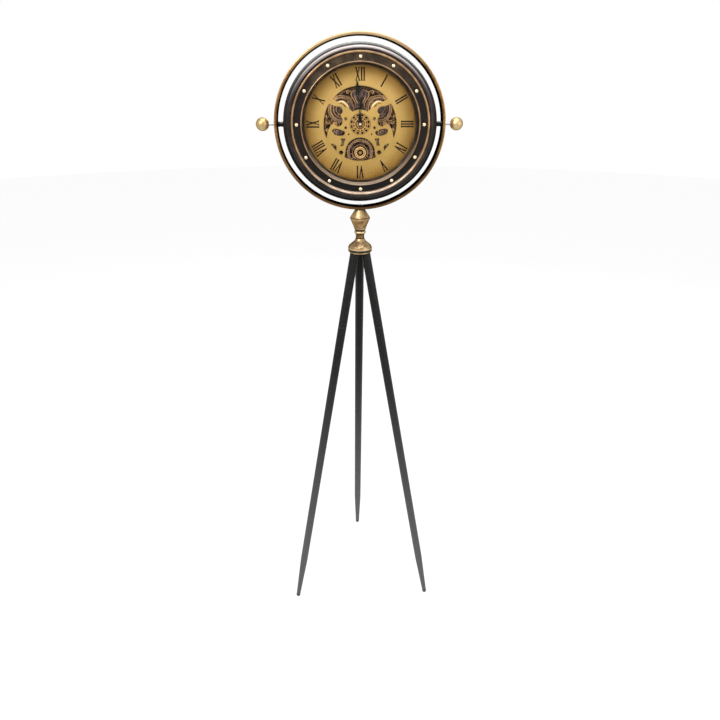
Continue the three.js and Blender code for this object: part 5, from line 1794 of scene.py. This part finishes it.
# In each row: the colours at two heights, the heights in metres, then roughness, dust,
# gloss and, for the case, the strength of the painted highlight on top. For the legs and the
# case the two colours are painted light and shade.
PAINTS = {
    "leg_paint": (tint(82, 82, 82), tint(10, 9, 8), 0.0, 0.7, 0.42, 0.3, 0.2),
    "collar_paint": (tint(16, 12, 9), tint(16, 12, 9), 0.0, 1.0, 0.4, 0.1, 0.25),
    "case_paint": (tint(3, 2, 2), tint(40, 38, 36), 1.06, 1.3, 0.36, 0.12, 0.08, 0.8),
    "cover_paint": (tint(30, 27, 25), tint(36, 33, 31), 1.02, 1.35, 0.45, 0.2, 0.35),
    "hoop_paint": (tint(40, 30, 20), tint(48, 36, 22), 1.06, 1.31, 0.5, 0.0, 0.2),
}
for name, recipe in PAINTS.items():
    painted(name, *recipe)

# %% [markdown]
# ## Bezel bronze
# The bezel is the same dark bronze, but its crests have been rubbed through to gold, and a
# painted highlight makes the gold paler at the bottom. The rubbed lines lie at fixed radii, so
# soft bands round the dial's axis place them, and noise breaks them up as a cloth would. The
# channel stays dark and dull, and turns browner towards the top as painted light from above.
# The lower part of the bezel is painted shade, nearly black. The roll and the slopes beside
# the channel carry the same painted pale highlight on what faces upwards as the case.

# %% Bezel paint with rubbed crests
tree, shader = start_finish("bezel_paint", Specular_IOR_Level=0.16)
place = effect(tree, place_group)
patina = effect(tree, patina_group, 70.0, 0.35, 0.65)
grain = effect(tree, grain_group, 900.0, 0.3)


def ring_line(tree, radius, middle, half, blur, strength):
    """A soft line at one radius of the bezel."""
    return times(tree, effect(tree, band_group, radius, middle, half, blur)["Mask"], strength)


outer_line = ring_line(tree, place["Radius"], OUTER_CREST_R, 1.2, 1.8, 0.86)
inner_line = ring_line(tree, place["Radius"], INNER_CREST_R + 0.3, 0.4, 1.3, 0.8)
rubbed = sums(tree, "MAXIMUM", outer_line, inner_line)
rubbed = times(tree, rubbed, between(tree, patina["Blotches"], 0.6, 1.0))
rubbed = sums(tree, "MAXIMUM", rubbed, times(tree, patina["Specks"], 0.03))
body = mixed(tree, patina["Blotches"], tint(24, 18, 17), tint(42, 32, 30))
channel = effect(tree, band_group, place["Radius"], SCREW_CIRCLE_R, 6.2, 1.2)["Mask"]
body = glazed(tree, body, channel, 0.75, tint(20, 15, 12))
# Painted light: the channel turns browner towards the top.
upper = times(tree, channel, ranged(tree, place["Height"], 50.0, 140.0, 0.0, 0.75))
brown = mixed(tree, patina["Blotches"], tint(58, 46, 34), tint(88, 72, 52))
body = mixed(tree, upper, body, brown)
# Painted shade: the lower part of the bezel goes nearly black.
painted_shade_below = ranged(tree, place["Height"], -130.0, -40.0, 0.85, 0.0)
body = mixed(tree, painted_shade_below, body, tint(7, 6, 5))
# Painted highlight: the rubbed gold is paler near the bottom.
low = ranged(tree, place["Height"], -148.0, -70.0, 1.0, 0.0)
gold = mixed(tree, low, tint(180, 143, 101), tint(232, 204, 178))
colour = mixed(tree, rubbed, body, gold)
# Painted highlight on the upper roll and on two slopes, wherever they face upwards.
roll = ranged(tree, place["Radius"], 147.0, 148.8)
roll = times(tree, roll, ranged(tree, painted_shade_below, 0.0, 0.5, 1.0, 0.0))
shiny = sums(tree, "MAXIMUM", roll, rubbed)
for middle, strength in ((143.3, 0.85), (123.6, 0.5)):
    slope = ring_line(tree, place["Radius"], middle, 2.2, 0.8, strength)
    shiny = sums(tree, "MAXIMUM", shiny, slope)
shiny = sums(tree, "SUBTRACT", shiny, times(tree, rubbed, 0.4), True)
pale = effect(tree, top_highlight_group, 0.15, 0.9, 0.85)["Bloom"]
sheen = mixed(tree, roll, tint(206, 182, 158), tint(212, 199, 196))
colour = glazed(tree, colour, pale, shiny, sheen)
tree.links.new(between(tree, rubbed, 0.1, 0.7), shader["Metallic"])
finish_off(tree, shader, colour, between(tree, rubbed, 0.3, 0.26), grain["Height"])

# %% [markdown]
# ## Aged brass
# The stem, the hub, the knobs and the nut of the hands are brass plated and then darkened.
# Dark patina lies in the grooves between the castings and in blotches, and the high edges
# are polished bright. For the stem the grooves are heights, so bands along Z darken and
# brighten them. The other pieces only get the blotches.

# %% Brass
BRIGHT, MELLOW = tint(206, 178, 134), tint(160, 128, 86)
STAIN, BLACKENED = tint(88, 62, 38), tint(22, 14, 8)


def brass(name, bright, mellow, dark_share, blotch_size, roughness, lines=()):
    tree, shader = start_finish(name, Metallic=0.9, Specular_Tint=NO_TINT)
    patina = effect(tree, patina_group, blotch_size, 0.4, 0.66)
    broad = effect(tree, patina_group, blotch_size * 0.3, 0.35, 0.65)
    grain = effect(tree, grain_group, 1400.0, 0.12)
    colour = mixed(tree, broad["Blotches"], mellow, bright)
    colour = glazed(tree, colour, patina["Blotches"], dark_share, STAIN)
    height = times(tree, one_axis(tree, 2), 1 / MM)
    for middle, half, blur, shade, strength in lines:
        mask = effect(tree, band_group, height, middle, half, blur)["Mask"]
        colour = glazed(tree, colour, mask, strength, shade)
    colour = glazed(tree, colour, patina["Specks"], 0.35, BLACKENED)
    colour = mixed(tree, grain["Dust Mask"], colour, tint(206, 198, 184))
    rough = between(tree, patina["Blotches"], roughness, roughness + 0.14)
    finish_off(tree, shader, colour, rough, grain["Height"], 0.25, 0.02)


stem_lines = (
    (BELL_Z + 0.4, 0.8, 0.5, BLACKENED, 0.9),
    (BELL_Z + 5.2, 0.15, 0.5, BLACKENED, 0.7),
    (BELL_Z + 2.2, 1.6, 0.6, BRIGHT, 0.8),
    (BELL_Z + 13.0, 4.0, 7.0, STAIN, 0.45),
    (BELL_Z + BELL_H, 0.8, 1.4, BLACKENED, 0.9),
    (NECK_Z + 5.0, 3.4, 3.0, STAIN, 0.7),
    (neck_top - 8.8, 0.4, 0.8, BLACKENED, 0.9),
    (bead_z, 1.6, 1.2, BRIGHT, 0.8),
    (neck_top, 1.2, 1.0, BLACKENED, 0.95),
    (CUP_Z + CUP_H, 0.25, 0.3, BLACKENED, 0.6),
    (CUP_Z + CUP_H - 1.2, 0.5, 0.4, BRIGHT, 0.9),
    (CAP_Z + 1.5, 0.2, 0.5, BLACKENED, 0.7),
    (CAP_Z + CAP_H, 0.8, 2.4, BLACKENED, 0.8),
)
brass("stem_brass", BRIGHT, MELLOW, 0.55, 90.0, 0.36, stem_lines)
brass("hub_brass", BRIGHT, MELLOW, 0.35, 140.0, 0.32)
brass("knob_brass", tint(206, 180, 132), tint(182, 152, 104), 0.22, 60.0, 0.34)
brass("screw_brass", tint(238, 214, 168), tint(212, 178, 126), 0.15, 260.0, 0.28)

# %% [markdown]
# ## Ring bronze
# The ring is gold bronze where hands and cloth touch it, on its front and outside, and
# nearly black on its inner face. The radius tells the two apart. The brown patches along
# the band are broad blotches, and the outer edge is rubbed brightest. The band is darker
# near the stem, which is painted shade, and paler towards its top, which is a painted highlight.

# %% Ring
tree, shader = start_finish("ring_bronze", Specular_IOR_Level=0.08, Specular_Tint=NO_TINT)
place = effect(tree, place_group)
patina = effect(tree, patina_group, 26.0, 0.38, 0.64)
fine = effect(tree, patina_group, 160.0, 0.42, 0.66)
grain = effect(tree, grain_group, 1000.0, 0.15)
colour = mixed(tree, patina["Blotches"], tint(98, 68, 38), tint(150, 113, 68))
colour = glazed(tree, colour, fine["Blotches"], 0.4, tint(84, 58, 34))
outer = effect(tree, band_group, place["Radius"], YOKE_R - 1, 0.7, 1.2)["Mask"]
colour = glazed(tree, colour, outer, 0.5, tint(188, 152, 102))
# Painted shade darkens the band near the stem, and a painted highlight pales its top.
low = ranged(tree, place["Height"], -184.0, 60.0, 0.6, 0.0)
colour = mixed(tree, low, colour, tint(72, 54, 38))
high = ranged(tree, place["Height"], 110.0, 186.0, 0.0, 0.65)
colour = mixed(tree, high, colour, tint(206, 178, 136))
inner = ranged(tree, place["Radius"], 177.6, 179.2, 1.0, 0.0)
colour = mixed(tree, inner, colour, tint(9, 6, 4))
dusty = times(tree, grain["Dust Mask"], between(tree, inner, 0.5, 0.0))
colour = mixed(tree, dusty, colour, tint(200, 190, 174))
tree.links.new(between(tree, inner, 0.8, 1.0), shader["Metallic"])
satin = between(tree, patina["Blotches"], 0.42, 0.3)
dull = sums(tree, "MAXIMUM", satin, times(tree, inner, 0.6))
finish_off(tree, shader, colour, dull, grain["Height"], 0.25)

# %% [markdown]
# ## Dial gold and numeral paint
# The dial is a satin gold, a little brighter towards its top as painted light from above. It
# is brightest in a broad zone inside the numerals and browner to its rim, partly from aged
# varnish and partly as painted shade under the bezel, darkest in the last few millimetres.
# Faint streaks run round it from the brushing. The numerals are flat brown paint, a little worn.

# %% Dial
tree, shader = start_finish("dial_gold", Specular_Tint=tint(190, 150, 90))
place = effect(tree, place_group)
patina = effect(tree, patina_group, 40.0, 0.35, 0.65)
fine = effect(tree, patina_group, 220.0, 0.4, 0.7)
grain = effect(tree, grain_group, 1500.0, 0.0)
wires = {0: times(tree, place["Radius"], 2.2), 1: place["Angle"]}
streaks = noise(tree, add(tree, "CombineXYZ", wires).outputs[0], 1.0, 3.0)
# Painted light: the gold is a little brighter towards the top.
upper = ranged(tree, place["Height"], -80.0, 70.0)
middle_gold = mixed(tree, upper, tint(172, 141, 76), tint(194, 160, 92))
# Browner towards the rim: partly aged varnish, partly painted shade under the bezel.
age_and_shade = ranged(tree, place["Radius"], 86.0, 118.0)
colour = mixed(tree, age_and_shade, middle_gold, tint(142, 103, 44))
# Painted shade under the bezel darkens the last part of the rim.
rim = ranged(tree, place["Radius"], 112.0, 123.0)
colour = mixed(tree, rim, colour, tint(106, 77, 38))
colour = glazed(tree, colour, patina["Blotches"], 0.3, tint(164, 130, 66))
colour = mixed(tree, ranged(tree, streaks, 0.45, 0.75, 0.0, 0.3), colour, tint(206, 174, 106))
colour = glazed(tree, colour, fine["Specks"], 0.25, tint(120, 84, 42))
tree.links.new(between(tree, fine["Blotches"], 0.5, 0.7), shader["Metallic"])
height = sums(tree, "ADD", times(tree, grain["Height"], 0.12), streaks)
finish_off(tree, shader, colour, ranged(tree, streaks, 0.3, 0.7, 0.38, 0.5), height, 0.15)

# %% Numerals
tree, shader = start_finish("numeral_paint", Metallic=0.0, Specular_IOR_Level=0.1)
worn = effect(tree, patina_group, 300.0, 0.45, 0.75)
colour = mixed(tree, worn["Blotches"], tint(22, 12, 5), tint(46, 28, 12))
finish_off(tree, shader, colour, between(tree, worn["Specks"], 0.6, 0.75))

# %% [markdown]
# ## Wheel and scroll metals
# Behind the dial everything is dark brown bronze with gold on whatever stands proud. The
# depth tells the two apart: the raised rings, dots and scrolls lie nearer the glass than
# the ground they rise from. Whatever lies deeper than a set depth is painted shade, nearly
# black, such as the sides of the wheels and the recesses of the pinion and centre wheel. The
# pinion and the centre wheel are gold. The dome screws of the bezel are made the same way,
# with a painted highlight on the front of each dome and painted shade round its foot, and
# the lips of the dial get a painted highlight along their crowns.

# %% Bronze with gold high points
def relief_metal(name, ground, ground_two, high, front_y, reach, deep_y, roughness):
    tree, shader = start_finish(name, Metallic=0.65, Specular_Tint=NO_TINT)
    depth = effect(tree, place_group)["Depth"]
    patina = effect(tree, patina_group, 150.0, 0.4, 0.62)
    scratches = effect(tree, patina_group, 420.0, 0.45, 0.6)
    grain = effect(tree, grain_group, 1300.0, 0.0)
    colour = mixed(tree, patina["Blotches"], ground, ground_two)
    colour = glazed(tree, colour, scratches["Specks"], 0.5, tint(156, 120, 84))
    # On the domes and the lips this high colour is a painted highlight; elsewhere it is worn gold.
    raised = ranged(tree, depth, front_y - reach, front_y, 1.0, 0.0)
    colour = glazed(tree, colour, raised, 0.9, high)
    colour = glazed(tree, colour, scratches["Blotches"], 0.25, tint(40, 27, 20))
    # Painted shade: whatever lies deeper than the set depth goes nearly black.
    sunk = ranged(tree, depth, deep_y - 0.3, deep_y + 0.3)
    colour = mixed(tree, sunk, colour, BLACKENED)
    rough = between(tree, patina["Blotches"], roughness, roughness + 0.15)
    height = sums(tree, "ADD", grain["Height"], times(tree, scratches["Blotches"], 0.8))
    finish_off(tree, shader, colour, rough, height, 0.4, 0.05)


DOME_FRONT, DOME_FOOT = HEAD_SEAT_Y - 0.7, HEAD_SEAT_Y + 0.1
# In each row: two colours of the ground and one of the high points, the depth where these
# begin and over how much, the depth behind which everything is painted shade, and the
# roughness. On the domes and the lips the high colour is a painted highlight.
RELIEFS = {
    "scroll_bronze": ((14, 9, 8), (40, 30, 29), (176, 132, 84), 2.7, 0.5, 3.4, 0.35),
    "wheel_bronze": ((50, 37, 34), (112, 92, 88), (206, 158, 100), -1.05, 0.4, -0.5, 0.32),
    "satellite_bronze": ((34, 24, 19), (74, 56, 46), (172, 130, 82), -1.05, 0.4, -0.5, 0.34),
    "filigree_bronze": ((46, 35, 33), (94, 79, 79), (226, 176, 112), -4.5, 0.5, 4.0, 0.34),
    "wheel_gold": ((92, 62, 32), (126, 90, 48), (210, 168, 100), -5.7, 0.6, -5.4, 0.3),
    "pinion_gold": ((110, 76, 40), (150, 110, 60), (240, 200, 132), -7.1, 0.5, -6.4, 0.3),
    "dome_brass": ((22, 14, 8), (88, 62, 38), (248, 228, 192), DOME_FRONT, 0.5, DOME_FOOT, 0.28),
    "lip_gold": ((214, 168, 100), (236, 196, 128), (255, 236, 186), -6.4, 0.8, 3.0, 0.28),
}
for name, (ground, ground_two, high, *depths_and_gloss) in RELIEFS.items():
    relief_metal(name, tint(*ground), tint(*ground_two), tint(*high), *depths_and_gloss)

# %% [markdown]
# ## Steel, blackened steel, rubber, plastic, cell and glass
# The small finishes are simpler, but none is one flat colour: steel has drawn lines along
# it, the hands are softly mottled, rubber and plastic have a moulded grain, and the cell is
# a plain two-tone sleeve with no words.

# %% Steel
tree, shader = start_finish("steel", Metallic=1.0, Specular_Tint=tint(150, 150, 155))
wires = {"Vector": own_place(tree), "Scale": (60, 900, 900)}
lines = noise(tree, add(tree, "Mapping", wires).outputs[0], 1.0, 3.0)
stains = effect(tree, patina_group, 160.0, 0.45, 0.7)
colour = mixed(tree, ranged(tree, lines, 0.3, 0.7), tint(150, 152, 154), tint(205, 207, 208))
colour = glazed(tree, colour, stains["Specks"], 0.3, tint(96, 92, 86))
finish_off(tree, shader, colour, ranged(tree, lines, 0.3, 0.7, 0.34, 0.2), lines, 0.15)


# %% Hands, bolts, rubber and plastic
def moulded(name, colour_one, colour_two, roughness, grain_size, strength, specular):
    tree, shader = start_finish(name, Metallic=0.0, Specular_IOR_Level=specular)
    patina = effect(tree, patina_group, 120.0, 0.35, 0.7)
    grain = effect(tree, grain_group, grain_size, 0.25)
    colour = mixed(tree, patina["Blotches"], colour_one, colour_two)
    colour = mixed(tree, grain["Dust Mask"], colour, tint(150, 146, 140))
    rough = between(tree, patina["Blotches"], roughness, roughness + 0.12)
    finish_off(tree, shader, colour, rough, grain["Height"], strength, 0.04)


# In each row: two colours, roughness, the grain's size and strength, and the gloss.
MOULDED = {
    "hand_black": (tint(10, 8, 7), tint(22, 18, 16), 0.4, 1600.0, 0.15, 0.2),
    "oiled_steel": (tint(20, 18, 17), tint(40, 37, 34), 0.4, 1200.0, 0.2, 0.4),
    "rubber": (tint(58, 58, 57), tint(74, 73, 71), 0.72, 1800.0, 0.4, 0.3),
    "movement_plastic": (tint(22, 22, 23), tint(32, 32, 33), 0.45, 2400.0, 0.45, 0.4),
}
for name, recipe in MOULDED.items():
    moulded(name, *recipe)

# %% Cell and glass
tree, shader = start_finish("cell_jacket", Metallic=0.3)
along = one_axis(tree, 0)
copper_end = ranged(tree, along, 0.0090, 0.0092)
metal_end = ranged(tree, sums(tree, "ABSOLUTE", along), 0.0236, 0.0237)
stains = effect(tree, patina_group, 200.0, 0.4, 0.7)
colour = mixed(tree, copper_end, tint(40, 46, 54), tint(178, 142, 88))
colour = mixed(tree, metal_end, colour, tint(180, 180, 178))
colour = glazed(tree, colour, stains["Specks"], 0.2, tint(120, 118, 112))
finish_off(tree, shader, colour, between(tree, metal_end, 0.32, 0.25))

CLEAR, SMEARED = (1, 1, 1, 1), (0.985, 0.99, 0.985, 1)
tree, shader = start_finish("glass", Metallic=0.0, Transmission_Weight=1.0, IOR=1.13)
smears = effect(tree, patina_group, 18.0, 0.5, 0.8)["Blotches"]
finish_off(tree, shader, mixed(tree, smears, CLEAR, SMEARED), between(tree, smears, 0.0, 0.015))

# %% Giving each piece its finish
for name, finish in finish_of.items():
    piece = bpy.data.objects[name]
    piece.data.materials.clear()
    piece.data.materials.append(finishes[finish])
print(len(finish_of), "pieces with", len(finishes), "finishes")

# %% [markdown]
# ## Floor and background
# The photo's background is plain white. The world is white only for camera, mirror and
# glass rays, and lights everything else at a plain level, so whiteness is never extra
# light on the clock. The floor does the same with part of its surface and keeps a shadow.

# %% Floor and world
sizes = {"vertices": 96, "radius": 9, "fill_type": "NGON"}
floor_disc = added(bpy.ops.mesh.primitive_circle_add, "floor_disc", **sizes)


def seen_directly(tree):
    """1 for rays from the camera, from mirrors and through glass."""
    path = add(tree, "LightPath").outputs
    seen = sums(tree, "MAXIMUM", path["Is Camera Ray"], path["Is Glossy Ray"])
    return sums(tree, "MAXIMUM", seen, path["Is Transmission Ray"])


material = bpy.data.materials.new("floor_white")
material.use_nodes = True
tree = material.node_tree
shader = tree.nodes["Principled BSDF"]
shader.inputs["Base Color"].default_value = (1, 1, 1, 1)
shader.inputs["Roughness"].default_value = 0.9
glow = add(tree, "Emission", {"Color": (1, 1, 1, 1), "Strength": 1.06}).outputs[0]
amount = times(tree, seen_directly(tree), 0.85)
blend = add(tree, "MixShader", {0: amount, 1: shader.outputs[0], 2: glow})
tree.links.new(blend.outputs[0], tree.nodes["Material Output"].inputs["Surface"])
floor_disc.data.materials.append(material)

world = bpy.data.worlds.new("studio")
bpy.context.scene.world = world
world.use_nodes = True
tree = world.node_tree
ambient = tree.nodes["Background"]
ambient.inputs["Color"].default_value = (1, 1, 1, 1)
ambient.inputs["Strength"].default_value = 0.42
white = add(tree, "Background", {"Color": (1, 1, 1, 1), "Strength": 1.0}).outputs[0]
blend = add(tree, "MixShader", {0: seen_directly(tree), 1: ambient.outputs[0], 2: white})
tree.links.new(blend.outputs[0], tree.nodes["World Output"].inputs["Surface"])

# %% [markdown]
# ## Lamps
# Four soft boxes: a key lamp above on the left, a weaker fill on the right, a top lamp for
# the shoulders of the case, and one behind, so that the back can be seen as well.

# %% Lamps
def soft_box(name, place, aim, width, height, watts):
    """A rectangular lamp at a place, turned towards its aim."""
    lamp = added(bpy.ops.object.light_add, name, type="AREA", location=place)
    lamp.data.shape = "RECTANGLE"
    lamp.data.size, lamp.data.size_y = width, height
    lamp.data.energy = watts
    lamp.rotation_euler = (Vector(aim) - Vector(place)).to_track_quat("-Z", "Y").to_euler()


soft_box("key_box", (-1.3, -1.9, 2.5), (0, 0, 1.15), 0.9, 0.9, 54)
soft_box("fill_box", (1.7, -1.5, 1.5), (0, 0, 1.0), 0.8, 1.2, 14)
soft_box("top_box", (0.05, -0.2, 2.5), (0, -0.05, 1.2), 1.2, 1.6, 24)
soft_box("rear_box", (0.5, 2.3, 2.2), (0, 0, 1.15), 1.4, 1.0, 40)

# %% [markdown]
# ## Camera
# The camera stands in front, a little above the middle of the head, and looks down by
# nineteen degrees. The shift is what the photo's framing needs. Place, turn and lens were
# fitted to the ring, the joints of the legs and the three feet.

# %% Camera
camera = added(bpy.ops.object.camera_add, "Camera", location=(-0.059, -1.44815, 1.268))
camera.rotation_euler = (radians(90 - 19.06), 0, radians(-2.41))
camera.data.lens = 31.31
camera.data.sensor_width = 36
camera.data.shift_y = -0.0833
bpy.context.scene.camera = camera
bpy.context.scene.view_settings.view_transform = "Standard"
